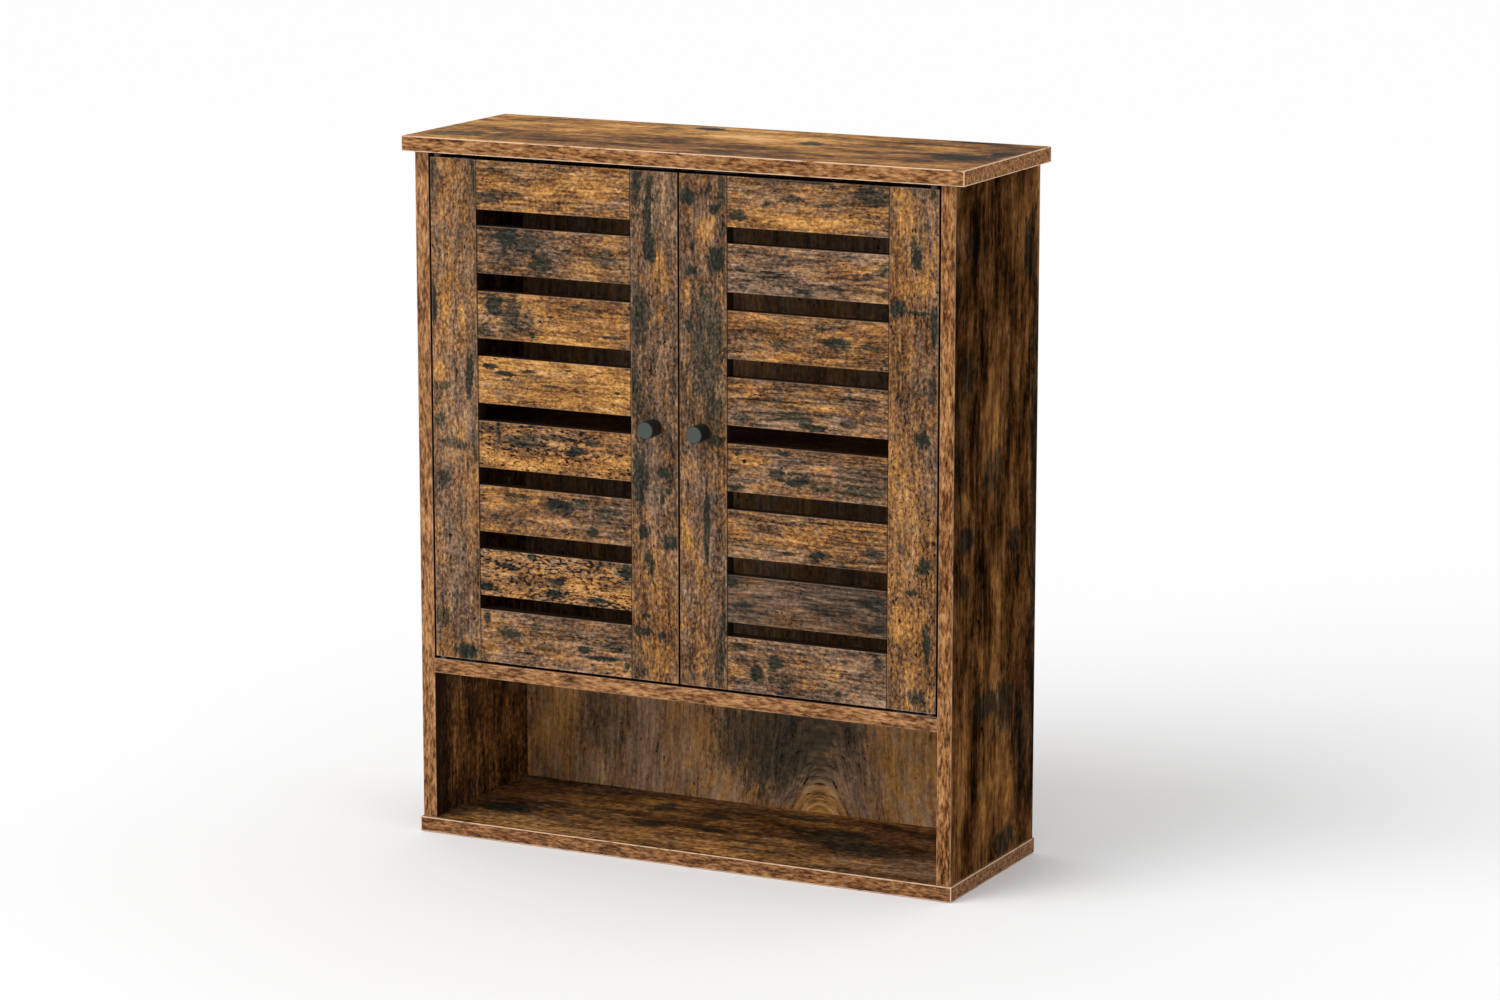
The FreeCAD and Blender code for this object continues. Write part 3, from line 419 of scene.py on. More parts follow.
def make_rim_group():
    """How near a place is to the edges of a box, where the foil shows wear and a highlight is painted
    along the edges.
    """
    tree, source, sink = new_group(
        "worn_and_highlit_rim", [("Place", "Vector"), ("Low", "Vector"), ("High", "Vector")], [("Mask", "Float")]
    )
    from_low = move(tree, "SUBTRACT", source["Place"], source["Low"])
    from_high = move(tree, "SUBTRACT", source["High"], source["Place"])
    x, y, z = split(tree, move(tree, "MINIMUM", from_low, from_high))
    smaller = calc(tree, "MINIMUM", x, y)
    larger = calc(tree, "MAXIMUM", x, y)
    second = calc(tree, "MAXIMUM", smaller, calc(tree, "MINIMUM", larger, z))
    rim = calc(tree, "SUBTRACT", 1.0, step(tree, second, *RIM_FADE))
    wear = noise(tree, source["Place"], *RIM_WEAR)
    feed(tree, sink["Mask"], calc(tree, "MULTIPLY", rim, step(tree, wear, *RIM_WEAR_FADE)))
    return tree


GROUPS = {"foil": make_foil_group(), "blotch": make_blotch_group(), "rim": make_rim_group()}

BAND_RAMP = (
    (0.26, paint(58, 32, 18)),
    (0.40, paint(104, 66, 38)),
    (0.52, paint(146, 101, 62)),
    (0.74, paint(196, 146, 98)),
)
BAND_SPECKS = ((110, 440, 440), 2.0, 0.7)
BAND_SPECK_WEIGHT = 0.95
BAND_STREAKS = ((34, 170, 170), 3.0, 0.6)
BAND_STREAK_WEIGHT = 0.6

HARDBOARD_GRAINS = ((260, 260, 260), 4.0, 0.7)
HARDBOARD_RAMP = (
    (0.34, paint(92, 66, 44)),
    (0.50, paint(118, 88, 60)),
    (0.66, paint(140, 108, 76)),
)

# The Y where the dark strip of painted shade on the inner faces begins, at its back, and where it is
# at its full strength, and the colour that it shares with the doors' edges.
SHADE_STRIP_FADE = (-0.165, -0.199)
EDGE_AND_GAP_SHADE_COLOUR = (*paint(40, 26, 17), 1)
# The joint lines are painted shade where the rails and slats butt on the stiles.
JOINT_SHADE_COLOUR = (*COOL_RAMP[1][1], 1)
# How far from a joint's middle its line of painted shade has its full strength and where it ends, in
# metres.
JOINT_SHADE_FADE = (0.0006, 0.0018)
JOINT_SHADE_STRENGTH = 0.8

# How squarely a face has to point along a direction to be taken as facing it.
FACE_FADE = (0.6, 0.9)
FRONT_OR_REAR_FADE = (0.4, 0.8)

# How far the print moves from one seed to the next, in metres.
SEED_SHIFT = (0.731, 0.419, 0.287)
FOIL_ROUGHNESS = 0.46
HEIGHT_ROUGHNESS = 0.16
FOIL_BUMP = {"Distance": 0.0003, "Strength": 0.5}

# The cabinet's axis along the grain, the one across it in the board's face, and the one through
# the board.
GRAINS = {
    "level_flat": ("X", "Y", "Z"),
    "level_upright": ("X", "Z", "Y"),
    "upright_front": ("Z", "X", "Y"),
    "upright_side": ("Z", "Y", "X"),
}


def marks_mask(tree, place, ragged, marks, upright):
    """The strongest of several blotches.

    A mark is (level, up, half level, half up, strength) in millimetres on the cabinet: level is X on
    the front and the flat boards and Y on the sides, and up is Z, or Y on the flat boards.
    """
    flat = move(tree, "MULTIPLY", place, (1, 1, 0))
    mask = 0.0
    for level, up, half_level, half_up, strength in marks:
        middle = (up, level) if upright else (level, up)
        half = (half_up, half_level) if upright else (half_level, half_up)
        values = {
            "Place": flat,
            "Ragged": ragged,
            "Middle": (middle[0] * MM, middle[1] * MM, 0),
            "Size": (half[0] * MM, half[1] * MM, 1),
        }
        spot = use(tree, GROUPS["blotch"], values)["Mask"]
        mask = calc(tree, "MAXIMUM", mask, calc(tree, "MULTIPLY", spot, strength))
    return mask


# The distance above the arch's middle counts ARCH_STEEPNESS times and levels off at ARCH_SPREAD
# metres.
ARCH_SPREAD = 0.05
ARCH_STEEPNESS = 1.9


def arched(tree, place, middle):
    """Bend the grain into nested arches above a middle (along, across) in millimetres.

    The bend ends behind the middle shelf, so the grain is straight above it.
    """
    along, across, through = split(tree, place)
    rise = calc(tree, "MAXIMUM", calc(tree, "SUBTRACT", along, middle[0] * MM), 0.0)
    aside = calc(tree, "SUBTRACT", across, middle[1] * MM)
    rise = calc(tree, "MULTIPLY", rise, ARCH_STEEPNESS)
    levelled = calc(tree, "DIVIDE", rise, calc(tree, "MULTIPLY_ADD", rise, 1 / ARCH_SPREAD, 1.0))
    bent = reach(tree, join(tree, levelled, aside, 0.0))
    shelf_low, shelf_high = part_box("middle_shelf")
    above = step(tree, along, shelf_low[2], shelf_high[2])
    bent = calc(tree, "MULTIPLY_ADD", above, calc(tree, "SUBTRACT", across, bent), bent)
    return join(tree, along, bent, through)


def foil_material(node, grain, seed, tone=0.5, warmth=0.5, mottle=1.1, lines=0.8, pits=0.3, stains=0.1,
                  stain_tone=0.15, cracks=0.4, contrast=0.5, print_scale=1.0, dark=(), bright=(),
                  front_band=False, end_bands=False, painted_shade_side=None, joints=(), arch=None,
                  dark_edges_and_gap_shade=False, plain_rear=False, band_tone=0.5, rim_wear_and_highlight=0.1, gloss=0.1):
    """The foil on one board, with its own piece of the print.

    grain names a row of GRAINS and arch is the middle of an arched grain. dark and bright list
    blotches. front_band gives the front edge its own finish and end_bands the ends too.
    painted_shade_side is the direction in which the board's inner face points, where a strip of
    painted shade lies just behind the front, and joints lists the X of the joint lines, which are
    lines of painted shade. dark_edges_and_gap_shade darkens everything but the front and the rear, a
    dark edge colour that also paints shade into the slots and the gaps, and plain_rear turns the rear
    into hardboard. worn sets the pale rim, which is partly wear and partly a painted highlight.
    """
    material = bpy.data.materials.new("foil_" + node)
    material.use_nodes = True
    tree = material.node_tree
    shader = tree.nodes["Principled BSDF"]
    coordinates = add(tree, "ShaderNodeTexCoord").outputs
    cabinet_place = coordinates["Object"]
    cabinet_parts = split(tree, cabinet_place)
    place = join(tree, *(cabinet_parts[axis] for axis in GRAINS[grain]))
    printed = arched(tree, place, arch) if arch else place
    printed = move(tree, "DIVIDE", printed, (print_scale,) * 3)
    seeded = move(tree, "ADD", printed, tuple(seed * shift for shift in SEED_SHIFT))

    ragged = noise(tree, seeded, *RAGGED_OUTLINE)
    upright = grain.startswith("upright")
    values = {
        "Place": seeded,
        "Tone": tone,
        "Warmth": warmth,
        "Mottle": mottle,
        "Lines": lines,
        "Pits": pits,
        "Stains": stains,
        "Stain tone": stain_tone,
        "Cracks": cracks,
        "Contrast": contrast,
        "Dark": marks_mask(tree, place, ragged, dark, upright),
        "Bright": marks_mask(tree, place, ragged, bright, upright),
    }
    foil = use(tree, GROUPS["foil"], values)
    colour = foil["Color"]

    if front_band:
        towards = facing(tree, coordinates["Normal"], (0, -1, 0))
        if end_bands:
            ends = calc(tree, "ABSOLUTE", facing(tree, coordinates["Normal"], (1, 0, 0)))
            towards = calc(tree, "MAXIMUM", towards, ends)
        specks = noise(tree, place, *BAND_SPECKS)
        streaks = noise(tree, place, *BAND_STREAKS)
        band_layers = ((specks, BAND_SPECK_WEIGHT), (streaks, BAND_STREAK_WEIGHT))
        grains = layered(tree, band_tone, band_layers)
        colour = blend(tree, step(tree, towards, *FACE_FADE), colour, ramp(tree, grains, BAND_RAMP))

    # A strip of painted shade on the inner face, just behind the front, where shade falls in the gaps
    # around the doors.
    if painted_shade_side:
        inner = step(tree, facing(tree, coordinates["Normal"], painted_shade_side), *FACE_FADE)
        near_front = step(tree, cabinet_parts["Y"], *SHADE_STRIP_FADE)
        colour = blend(tree, calc(tree, "MULTIPLY", inner, near_front), colour, EDGE_AND_GAP_SHADE_COLOUR)
    # Every face that is neither front nor rear gets the dark colour. It is partly a dark edge colour
    # and partly shade painted into the slots and the gaps.
    if dark_edges_and_gap_shade:
        frontal = calc(tree, "ABSOLUTE", facing(tree, coordinates["Normal"], (0, 1, 0)))
        colour = blend(tree, step(tree, frontal, *FRONT_OR_REAR_FADE), EDGE_AND_GAP_SHADE_COLOUR, colour)

    if plain_rear:
        rearward = step(tree, facing(tree, coordinates["Normal"], (0, 1, 0)), *FACE_FADE)
        pulp = ramp(tree, noise(tree, cabinet_place, *HARDBOARD_GRAINS), HARDBOARD_RAMP)
        colour = blend(tree, rearward, colour, pulp)

    low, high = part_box(node)
    rim = use(tree, GROUPS["rim"], {"Place": cabinet_place, "Low": low, "High": high})["Mask"]
    # A pale rim along the board's edges, partly worn foil and partly a painted highlight.
    colour = blend(tree, calc(tree, "MULTIPLY", rim, rim_wear_and_highlight), colour, RIM_WEAR_AND_HIGHLIGHT_COLOUR)
    # Lines of painted shade where the rails and slats meet the stiles.
    for end in joints:
        away = calc(tree, "ABSOLUTE", calc(tree, "SUBTRACT", cabinet_parts["X"], end))
        line = calc(tree, "SUBTRACT", 1.0, step(tree, away, *JOINT_SHADE_FADE))
        colour = blend(tree, calc(tree, "MULTIPLY", line, JOINT_SHADE_STRENGTH), colour, JOINT_SHADE_COLOUR)
    height = foil["Height"]
    feed(tree, shader.inputs["Base Color"], colour)
    roughness = calc(tree, "MULTIPLY_ADD", height, HEIGHT_ROUGHNESS, FOIL_ROUGHNESS)
    feed(tree, shader.inputs["Roughness"], roughness)
    shader.inputs["Specular IOR Level"].default_value = gloss
    bump = add(tree, "ShaderNodeBump", {"Height": height, **FOIL_BUMP})
    feed(tree, shader.inputs["Normal"], bump.outputs["Normal"])
    return material


def dress(node, material):
    """Give a CAD node one material."""
    slots = NODES[node].material_slots
    for slot in slots:
        slot.material = material
    if not slots:
        NODES[node].data.materials.append(material)


# -------------------------------------------------------------- board by board
# dark and bright list the blotches that each board's print shows; see marks_mask.

BOARDS = {
    "top_board": dict(
        grain="level_flat", tone=0.57, warmth=1.2, mottle=0.7, lines=0.6, stains=0.1, contrast=1.15,
        print_scale=2.0, front_band=True, end_bands=True, painted_shade_side=(0, 0, -1), rim_wear_and_highlight=0.9, gloss=0.02,
        dark=[(-55, -22, 22, 10, 0.85), (-255, -160, 34, 22, 0.5), (85, -85, 16, 14, 0.7),
              (255, -115, 35, 25, 0.8), (285, -85, 14, 20, 0.8), (-50, -65, 18, 12, 0.45),
              (-215, -160, 12, 30, 0.35), (225, -8, 15, 5, 0.8), (170, -40, 15, 8, 0.4),
              (-95, -35, 16, 10, 0.35), (60, -185, 50, 10, 0.3)],
        bright=[(-130, -110, 70, 40, 0.5), (120, -60, 50, 25, 0.4)],
    ),
    "bottom_board": dict(
        grain="level_flat", tone=0.44, warmth=0.6, lines=0.6, contrast=0.8, print_scale=1.8,
        front_band=True, end_bands=True, band_tone=0.45, rim_wear_and_highlight=0.8,
        dark=[(-230, -130, 30, 22, 0.9), (-90, -60, 12, 22, 0.7), (110, -85, 40, 25, 0.6),
              (150, -110, 50, 20, 0.7), (-5, -118, 25, 8, 0.9), (-75, -125, 18, 12, 0.8),
              (60, -35, 40, 8, 0.6), (-195, -100, 20, 6, 0.6), (-25, -70, 18, 18, 0.4)],
        bright=[(-105, -50, 30, 15, 0.6), (-120, -78, 60, 6, 0.7), (30, -60, 60, 10, 0.4),
                (-140, -165, 100, 12, 0.4), (60, -185, 50, 10, 0.6), (180, -150, 25, 12, 0.5),
                (-60, -100, 40, 6, 0.5)],
    ),
    "middle_shelf": dict(grain="level_flat", tone=0.42, front_band=True, painted_shade_side=(0, 0, 1)),
    "left_side_panel": dict(
        grain="upright_side", tone=0.32, warmth=0.6, stains=0.3, stain_tone=0.12, contrast=0.8,
        print_scale=1.5, front_band=True, painted_shade_side=(1, 0, 0),
        bright=[(-150, 90, 12, 60, 0.6), (-60, 80, 10, 50, 0.5)],
    ),
    # The right side's dark tone is partly its darker print and partly painted shade, for the side that
    # faces away from the key light.
    "right_side_panel": dict(
        grain="upright_side", tone=0.26, warmth=1.0, mottle=0.4, lines=0.5, pits=0.1, stains=0.2,
        stain_tone=0.05, contrast=0.9, print_scale=2.0, front_band=True, painted_shade_side=(-1, 0, 0),
        band_tone=0.48, rim_wear_and_highlight=0.15, gloss=0.0,
        dark=[(-165, 625, 12, 12, 0.5), (-25, 605, 13, 32, 0.59), (-168, 500, 16, 25, 0.43),
              (-165, 345, 22, 14, 0.59), (-55, 325, 13, 13, 0.56), (-105, 400, 25, 25, 0.37),
              (-120, 175, 30, 18, 0.56), (-75, 165, 30, 30, 0.5), (-70, 30, 25, 18, 0.59),
              (-35, 120, 20, 60, 0.31), (-8, 350, 8, 320, 0.53), (-185, 420, 12, 60, 0.31),
              (-170, 300, 12, 14, 0.5), (-195, 600, 6, 60, 0.37)],
        bright=[(-130, 600, 20, 60, 0.5), (-175, 380, 18, 18, 0.9), (-130, 465, 18, 12, 0.7),
                (-175, 130, 14, 90, 0.5), (-140, 225, 25, 30, 0.4), (-20, 420, 10, 60, 0.5),
                (-75, 610, 25, 50, 0.35), (-120, 95, 25, 8, 0.6), (-15, 100, 8, 60, 0.5)],
    ),
    "back_panel": dict(
        grain="upright_front", tone=0.66, warmth=0.40, mottle=0.6, lines=0.7, stains=0.0, cracks=0.3,
        contrast=0.35, print_scale=1.3, arch=(8, 62), plain_rear=True,
        dark=[(15, 85, 80, 62, 0.5), (70, 100, 45, 16, 0.4), (-185, 80, 30, 45, 0.3)],
        bright=[(62, 25, 30, 24, 0.9), (-245, 90, 25, 60, 0.5), (150, 90, 50, 60, 0.4)],
    ),
    "hanging_rail": dict(grain="level_upright", tone=0.4),
    "loose_shelf": dict(grain="level_flat", tone=0.36, front_band=True),
}

DOOR_LOOKS = {
    "left_door": {
        "hinge_stile": dict(
            tone=0.50, warmth=0.48, lines=0.5,
            dark=[(-270, 537, 3, 22, 0.9), (-230, 468, 5, 26, 0.85), (-258, 455, 6, 5, 0.5),
                  (-260, 362, 9, 9, 0.75), (-248, 398, 16, 6, 0.5), (-238, 190, 17, 8, 0.95),
                  (-264, 222, 8, 10, 0.5), (-265, 420, 8, 9, 0.55), (-224, 400, 4, 30, 0.5),
                  (-223, 275, 3, 25, 0.4), (-268, 660, 6, 25, 0.4), (-224, 660, 5, 25, 0.45)],
            bright=[(-256, 535, 7, 14, 0.6), (-239, 520, 6, 18, 0.8), (-243, 497, 5, 10, 0.6),
                    (-265, 470, 6, 12, 0.8), (-255, 388, 15, 10, 0.4), (-258, 245, 6, 25, 0.4)],
        ),
        "lock_stile": dict(
            tone=0.44, warmth=0.45, lines=0.5,
            dark=[(-32, 640, 5, 45, 0.8), (-31, 603, 7, 16, 0.95), (-45, 665, 7, 20, 0.6),
                  (-42, 540, 12, 35, 0.55), (-45, 470, 8, 35, 0.5), (-43, 385, 9, 32, 0.75),
                  (-16, 388, 7, 6, 0.95), (-39, 328, 7, 6, 0.95), (-10, 320, 10, 8, 0.8),
                  (-34, 303, 5, 8, 0.7), (-29, 290, 3, 12, 0.5), (-40, 230, 13, 5, 0.8),
                  (-20, 228, 6, 3, 0.95), (-36, 246, 6, 2, 0.8), (-12, 371, 4, 3, 0.8),
                  (-18, 362, 3, 8, 0.6), (-40, 190, 9, 6, 0.5)],
            bright=[(-19, 583, 9, 22, 0.7), (-20, 545, 8, 10, 0.5), (-20, 660, 6, 25, 0.4),
                    (-11, 404, 6, 8, 0.8), (-35, 350, 8, 14, 0.5), (-17, 205, 9, 18, 0.9),
                    (-36, 212, 6, 8, 0.6), (-18, 245, 8, 8, 0.5)],
        ),
        "top_rail": dict(
            tone=0.51, warmth=0.58, lines=1.0, cracks=0.6,
            dark=[(-205, 645, 18, 7, 0.6), (-178, 648, 10, 4, 0.4), (-129, 643, 2.5, 2, 1.0)],
            bright=[(-85, 656, 32, 7, 0.8), (-200, 662, 20, 5, 0.5), (-147, 655, 15, 8, 0.4),
                    (-80, 676, 25, 4, 0.4)],
        ),
        "slat_1": dict(
            tone=0.45, warmth=0.42,
            dark=[(-188, 607, 17, 11, 0.9), (-165, 600, 16, 12, 0.6), (-150, 583, 14, 12, 0.8),
                  (-80, 592, 20, 10, 0.45)],
            bright=[(-215, 595, 7, 20, 0.6), (-205, 575, 14, 4, 0.7), (-68, 612, 14, 5, 0.5),
                    (-97, 583, 12, 8, 0.5)],
        ),
        "slat_2": dict(
            tone=0.48, warmth=0.52,
            dark=[(-202, 538, 12, 14, 0.8), (-182, 529, 14, 20, 0.6), (-165, 527, 7, 14, 0.4),
                  (-160, 512, 4, 3, 1.0), (-214, 512, 8, 6, 0.5), (-140, 531, 3, 1.5, 1.0),
                  (-105, 542, 18, 3, 0.5), (-75, 516, 16, 2.5, 0.5)],
            bright=[(-130, 508, 35, 4, 0.8), (-135, 522, 20, 6, 0.5), (-216, 532, 6, 8, 0.5)],
        ),
        "slat_3": dict(
            tone=0.57, warmth=0.72,
            dark=[(-208, 478, 10, 3, 0.9), (-190, 472, 14, 2.5, 0.95), (-165, 476, 10, 2, 0.5),
                  (-187, 466, 10, 1.5, 0.7), (-139, 463, 9, 2, 0.7), (-121, 480, 5, 1.2, 0.7),
                  (-85, 480, 4, 1, 0.6), (-67, 462, 3, 1.5, 0.9), (-112, 460, 6, 1.2, 0.6)],
            bright=[(-85, 470, 50, 18, 0.55), (-208, 445, 10, 5, 0.8)],
        ),
        "slat_4": dict(
            tone=0.49, warmth=0.6, pits=0.9,
            dark=[(-199, 415, 3, 7, 0.6), (-168, 407, 22, 9, 0.6), (-130, 412, 18, 5, 0.5),
                  (-112, 401, 14, 5, 0.9), (-95, 411, 10, 4, 0.7)],
            bright=[(-212, 400, 9, 18, 0.7), (-170, 384, 35, 5, 0.7), (-128, 403, 5, 4, 0.5),
                    (-75, 392, 22, 8, 0.5)],
        ),
        "slat_5": dict(
            tone=0.47, warmth=0.5,
            dark=[(-132, 346, 18, 8, 0.9), (-108, 350, 9, 5, 0.6), (-95, 323, 7, 6, 0.85),
                  (-178, 349, 18, 6, 0.5), (-203, 329, 8, 2, 0.8), (-80, 343, 12, 8, 0.5),
                  (-176, 326, 4, 3, 0.6)],
            bright=[(-207, 343, 14, 10, 0.6), (-212, 318, 10, 4, 0.6), (-140, 328, 22, 8, 0.4)],
        ),
        "slat_6": dict(
            tone=0.56, warmth=0.62, pits=1.1,
            dark=[(-190, 280, 12, 4, 0.9), (-135, 269, 12, 4, 0.9), (-138, 258, 14, 5, 0.85),
                  (-215, 258, 10, 6, 0.9), (-60, 287, 10, 8, 0.9), (-90, 255, 14, 4, 0.85),
                  (-162, 291, 7, 3, 0.7)],
            bright=[(-105, 268, 30, 8, 0.6), (-207, 290, 8, 4, 0.5), (-62, 262, 8, 9, 0.6)],
        ),
        "bottom_rail": dict(
            tone=0.48, warmth=0.45, cracks=0.6,
            dark=[(-213, 226, 4, 9, 0.8), (-188, 212, 15, 6, 0.7), (-160, 221, 8, 5, 0.4),
                  (-105, 205, 9, 4, 0.9), (-82, 198, 20, 2.5, 0.9), (-75, 210, 18, 1.8, 0.8),
                  (-57, 193, 4, 4, 0.9)],
            bright=[(-208, 194, 12, 8, 0.5), (-125, 193, 25, 7, 0.4), (-75, 204, 16, 2.5, 0.5)],
        ),
    },
    "right_door": {
        "hinge_stile": dict(
            tone=0.47, warmth=0.6, pits=0.5, lines=0.5,
            dark=[(249, 615, 6, 13, 1.0), (246, 628, 3, 8, 0.6), (265, 675, 3, 8, 0.7),
                  (261, 645, 3, 8, 0.6), (231, 566, 10, 9, 1.0), (251, 563, 14, 2.5, 0.85),
                  (268, 550, 5, 22, 0.9), (266, 490, 4, 15, 0.8), (256, 444, 9, 10, 1.0),
                  (235, 479, 3, 2, 0.7), (259, 322, 8, 9, 0.85), (246, 296, 8, 2.5, 0.8),
                  (262, 247, 4, 24, 0.95), (250, 195, 12, 8, 0.6), (235, 338, 6, 6, 0.35)],
            bright=[(240, 655, 15, 28, 0.6), (234, 587, 12, 14, 0.7), (258, 590, 10, 12, 0.6),
                    (236, 262, 13, 20, 0.7), (260, 277, 3, 6, 0.6), (268, 200, 4, 12, 0.5)],
        ),
        "lock_stile": dict(
            tone=0.42, warmth=0.46, lines=0.5,
            dark=[(9, 657, 9, 9, 0.95), (39, 648, 7, 6, 0.95), (33, 667, 3, 4, 0.6),
                  (15, 611, 3, 4, 0.9), (11, 625, 3, 5, 0.5), (15, 587, 7, 6, 0.95),
                  (41, 600, 11, 16, 0.95), (33, 520, 18, 60, 0.55), (38, 450, 13, 30, 0.6),
                  (11, 535, 4, 7, 0.8), (46, 665, 5, 18, 0.5), (30, 340, 4, 45, 0.85),
                  (45, 210, 6, 28, 0.6), (38, 425, 10, 8, 0.8), (49, 260, 3, 40, 0.5),
                  (19, 264, 4, 2, 0.8)],
            bright=[(31, 628, 10, 14, 0.8), (8, 562, 7, 18, 0.9), (24, 675, 8, 7, 0.5),
                    (10, 520, 4, 12, 0.6), (12, 395, 9, 18, 0.7), (9, 330, 7, 28, 0.55)],
        ),
        "top_rail": dict(
            tone=0.49, warmth=0.55, lines=0.9, cracks=0.6,
            dark=[(205, 670, 20, 10, 0.8), (118, 663, 12, 4, 0.6), (156, 658, 8, 3, 0.6),
                  (62, 643, 10, 7, 0.7), (140, 679, 22, 2, 0.7), (93, 656, 5, 3, 0.5)],
            bright=[(150, 641, 70, 8, 0.7), (70, 675, 14, 5, 0.4)],
        ),
        "slat_1": dict(
            tone=0.50, warmth=0.42, lines=1.0,
            dark=[(67, 593, 7, 4, 0.5), (95, 591, 12, 1.2, 0.8), (95, 586, 12, 1, 0.7),
                  (69, 575, 5, 2.5, 0.8), (133, 575, 12, 3, 0.7), (190, 590, 12, 1.5, 0.6),
                  (215, 600, 8, 8, 0.5)],
            bright=[(90, 613, 40, 3, 0.5)],
        ),
        "slat_2": dict(
            tone=0.49, warmth=0.5, lines=0.9,
            dark=[(166, 528, 16, 7, 0.9), (200, 527, 20, 3, 0.6), (107, 523, 10, 4, 0.5),
                  (150, 543, 6, 4, 0.5)],
            bright=[(105, 510, 45, 5, 0.7), (60, 540, 12, 8, 0.4)],
        ),
        "slat_3": dict(
            tone=0.45, warmth=0.5, lines=1.0, cracks=0.7,
            dark=[(95, 468, 40, 1, 0.7), (180, 470, 35, 0.9, 0.6), (120, 455, 18, 5, 0.7),
                  (135, 450, 10, 7, 0.7), (68, 449, 15, 4, 0.7), (147, 445, 12, 4, 0.7),
                  (180, 452, 12, 5, 0.5)],
            bright=[(155, 465, 35, 5, 0.8), (68, 477, 14, 5, 0.5)],
        ),
        "slat_4": dict(
            tone=0.41, warmth=0.48, lines=0.9,
            dark=[(62, 414, 2, 2.5, 1.0), (70, 407, 2.5, 2, 1.0), (60, 380, 10, 4, 0.8),
                  (57, 397, 7, 3, 0.8), (126, 391, 14, 6, 0.95), (105, 398, 10, 6, 0.7),
                  (113, 418, 8, 3, 0.7), (195, 390, 24, 9, 0.5), (150, 389, 14, 5, 0.6)],
            bright=[(75, 410, 22, 7, 0.9), (143, 406, 18, 4, 0.6), (85, 384, 16, 4, 0.7)],
        ),
        "slat_5": dict(
            tone=0.43, warmth=0.52, lines=1.0,
            dark=[(148, 354, 20, 1.2, 0.95), (195, 351, 25, 0.9, 0.7), (119, 322, 8, 3, 0.9),
                  (148, 323, 14, 4, 0.8), (208, 330, 10, 7, 0.7), (92, 327, 12, 2.5, 0.5),
                  (172, 315, 9, 3, 0.7), (110, 356, 12, 2, 0.5)],
            bright=[(137, 338, 24, 8, 0.8), (64, 337, 12, 9, 0.5)],
        ),
        "slat_6": dict(
            tone=0.34, warmth=0.3, lines=0.9, mottle=0.6,
            dark=[(57, 288, 8, 8, 0.6), (70, 266, 12, 8, 0.6), (208, 280, 12, 10, 0.4)],
            bright=[(108, 260, 12, 5, 0.6)],
        ),
        "bottom_rail": dict(
            tone=0.46, warmth=0.42,
            dark=[(66, 226, 9, 5, 0.7), (103, 213, 11, 10, 0.8), (84, 200, 7, 10, 0.9),
                  (114, 192, 7, 7, 0.6), (213, 223, 7, 6, 0.7), (170, 190, 4, 3, 0.7),
                  (99, 197, 5, 4, 0.6)],
            bright=[(165, 206, 12, 4, 0.6), (62, 199, 10, 8, 0.5), (140, 196, 18, 5, 0.5)],
        ),
    },
}


def dress_boards():
    """Foil on the carcass."""
    for seed, (node, look) in enumerate(BOARDS.items(), start=1):
        dress(node, foil_material(node, seed=seed, **look))


FIRST_DOOR_SEED = 21


def dress_doors():
    """Foil on the doors, upright on the stiles and level on the rails and slats."""
    seed = FIRST_DOOR_SEED
    for door, looks in DOOR_LOOKS.items():
        stiles = [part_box(door + "_" + stile) for stile in ("hinge_stile", "lock_stile")]
        # The rails and slats meet the stiles at the middle two of the stiles' four X values.
        joints = sorted(corner[0] for box in stiles for corner in box)[1:3]
        for piece, look in looks.items():
            node = door + "_" + piece
            if "stile" in piece:
                run = dict(grain="upright_front")
            else:
                run = dict(grain="level_upright", joints=joints)
            # Every door piece gets the dark edges: partly a dark edge colour, partly painted shade in
            # the slots and the gaps.
            dress(node, foil_material(node, seed=seed, dark_edges_and_gap_shade=True, **run, **look))
            seed += 1


# ------------------------------------------------------- knobs and other parts

# The knob's front face is paler as a painted highlight, and its sides are left dark as painted shade.
KNOB_HIGHLIGHT_COLOUR = (*paint(62, 70, 63), 1)
KNOB_HIGHLIGHT_FADE = (0.7, 0.95)

FINISH_DETAIL = 3.0
FINISH_GRAIN_ROUGHNESS = 0.6
FINISH_SMEARS = ((60, 60, 60), 2.0)
SMEAR_COLOUR_WEIGHT = 0.5
FINISH_COLOUR_FADE = (0.3, 0.7)
GRAIN_SHEEN = 0.2
SMEAR_SHEEN = 0.2
FINISH_BUMP = {"Distance": 0.0001, "Strength": 0.6}


def coated_material(name, low, high, waves, roughness, metallic=0.0, gloss=0.5):
    """A finish whose colour, sheen and surface change a little from place to place.

    low and high are its darkest and palest colour. waves is how many waves per metre it has along X,
    Y and Z: unequal numbers for brushed metal, equal ones for the other finishes.
    """
    material = bpy.data.materials.new(name)
    material.use_nodes = True
    tree = material.node_tree
    shader = tree.nodes["Principled BSDF"]
    place = add(tree, "ShaderNodeTexCoord").outputs["Object"]
    grains = noise(tree, place, waves, FINISH_DETAIL, FINISH_GRAIN_ROUGHNESS)
    smears = noise(tree, place, *FINISH_SMEARS)
    mixed = layered(tree, grains, ((smears, SMEAR_COLOUR_WEIGHT),))
    mixed = step(tree, mixed, *FINISH_COLOUR_FADE)
    feed(tree, shader.inputs["Base Color"], blend(tree, mixed, (*low, 1), (*high, 1)))
    sheen = layered(tree, roughness, ((grains, GRAIN_SHEEN), (smears, SMEAR_SHEEN)))
    feed(tree, shader.inputs["Roughness"], sheen)
    shader.inputs["Metallic"].default_value = metallic
    shader.inputs["Specular IOR Level"].default_value = gloss
    bump = add(tree, "ShaderNodeBump", {"Height": grains, **FINISH_BUMP})
    feed(tree, shader.inputs["Normal"], bump.outputs["Normal"])
    return material


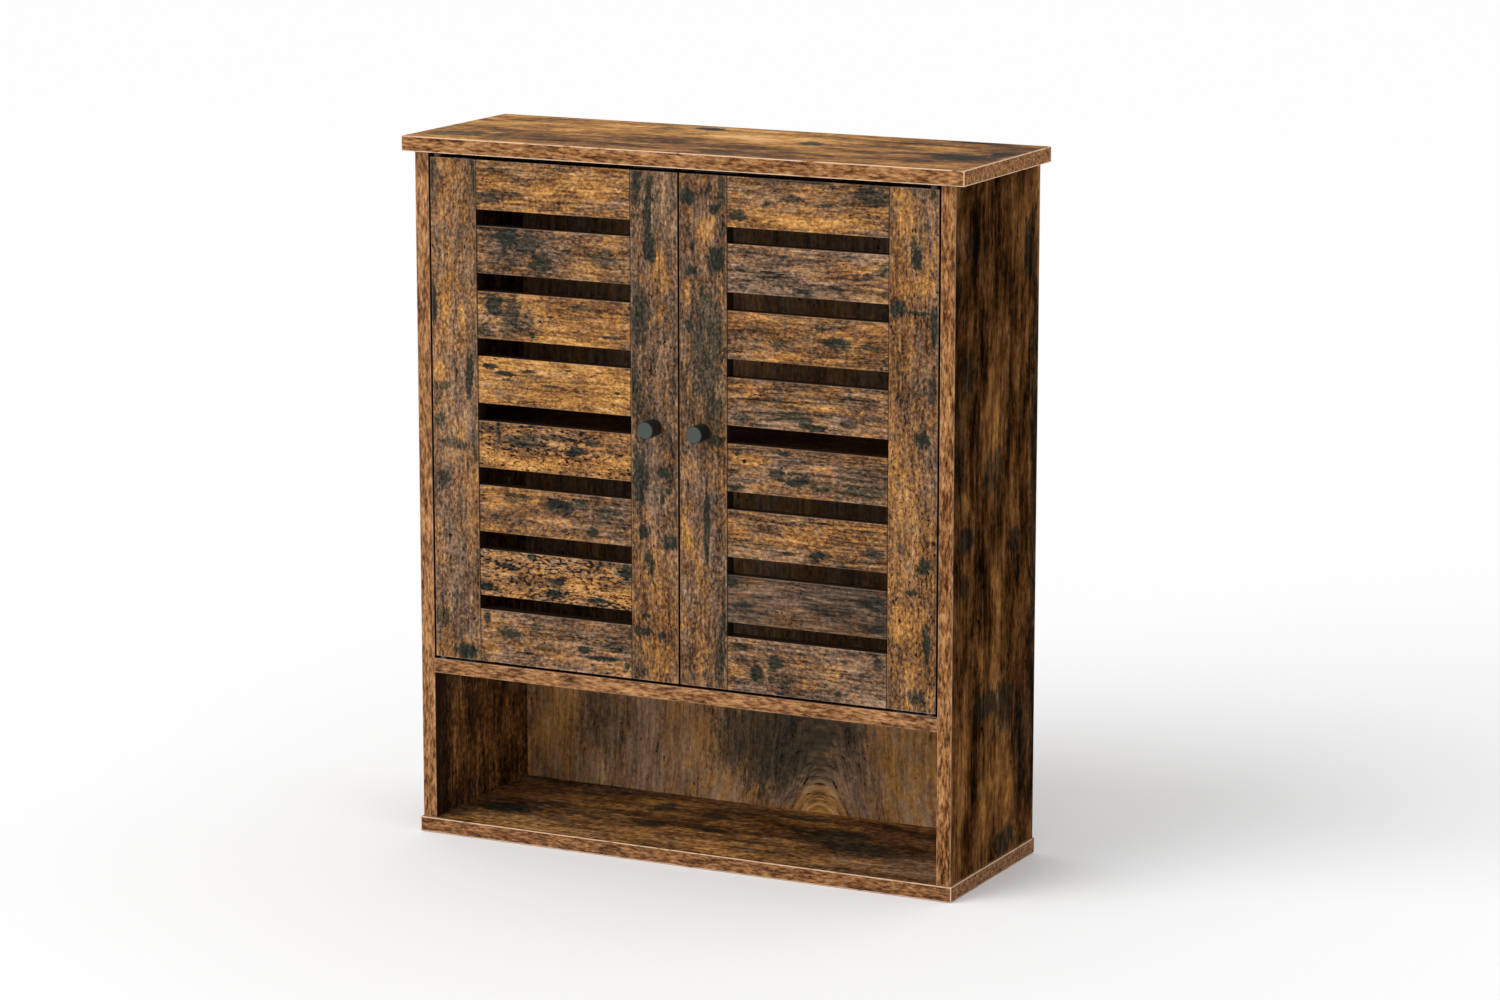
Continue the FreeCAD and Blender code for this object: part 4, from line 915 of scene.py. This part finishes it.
def knob_material():
    """Black powder coat, with a painted highlight on its paler front face and painted shade on its
    darker sides.
    """
    material = coated_material(
        "knob_black", paint(17, 18, 17), paint(30, 33, 30), (900, 900, 900), 0.5, gloss=0.3)
    tree = material.node_tree
    shader = tree.nodes["Principled BSDF"]
    coat = shader.inputs["Base Color"].links[0].from_socket
    normal = add(tree, "ShaderNodeTexCoord").outputs["Normal"]
    # A painted highlight on the face that looks to the front; the sides keep the dark coat as painted
    # shade.
    towards = step(tree, facing(tree, normal, (0, -1, 0)), *KNOB_HIGHLIGHT_FADE)
    feed(tree, shader.inputs["Base Color"], blend(tree, towards, coat, KNOB_HIGHLIGHT_COLOUR))
    return material


def dress_hardware():
    """Knobs, hinges, catches, cams, screws, pins and dowels."""
    knob_black = knob_material()
    steel = coated_material(
        "hinge_steel", paint(150, 150, 152), paint(196, 196, 198), (90, 90, 1400), 0.36, metallic=1.0)
    screws = coated_material(
        "screw_steel", paint(140, 138, 134), paint(190, 186, 178), (700, 700, 700), 0.4, metallic=1.0)
    zinc = coated_material(
        "cam_zinc", paint(138, 139, 140), paint(182, 183, 184), (1100, 1100, 1100), 0.5, metallic=1.0)
    magnet = coated_material(
        "magnet_dark", paint(52, 52, 55), paint(84, 84, 88), (800, 800, 800), 0.45, metallic=0.6)
    plastic = coated_material(
        "plastic_brown", paint(50, 33, 22), paint(72, 49, 33), (1000, 1000, 1000), 0.45)
    beech = coated_material(
        "dowel_beech", paint(186, 148, 104), paint(214, 180, 136), (700, 700, 700), 0.6, gloss=0.2)
    looks = {
        "shelf_pins": steel,
        "pivot_pins": steel,
        "board_pivot_plates": steel,
        "board_pivot_screws": screws,
        "catch_screws": screws,
        "long_screws": screws,
        "cam_bolts": screws,
        "cam_locks": zinc,
        "catch_magnets": magnet,
        "catch_cases": plastic,
        "pivot_washers": plastic,
        "carcass_dowels": beech,
    }
    door_looks = {
        "knob": knob_black,
        "knob_screw": screws,
        "pivot_plates": steel,
        "pivot_screws": screws,
        "strike_plate": steel,
        "strike_screw": screws,
        "rail_dowels": beech,
    }
    for door in DOOR_LOOKS:
        looks.update({door + "_" + piece: material for piece, material in door_looks.items()})
    for node, material in looks.items():
        dress(node, material)


make_camera()
make_lights()
make_floor()
dress_boards()
dress_doors()
dress_hardware()
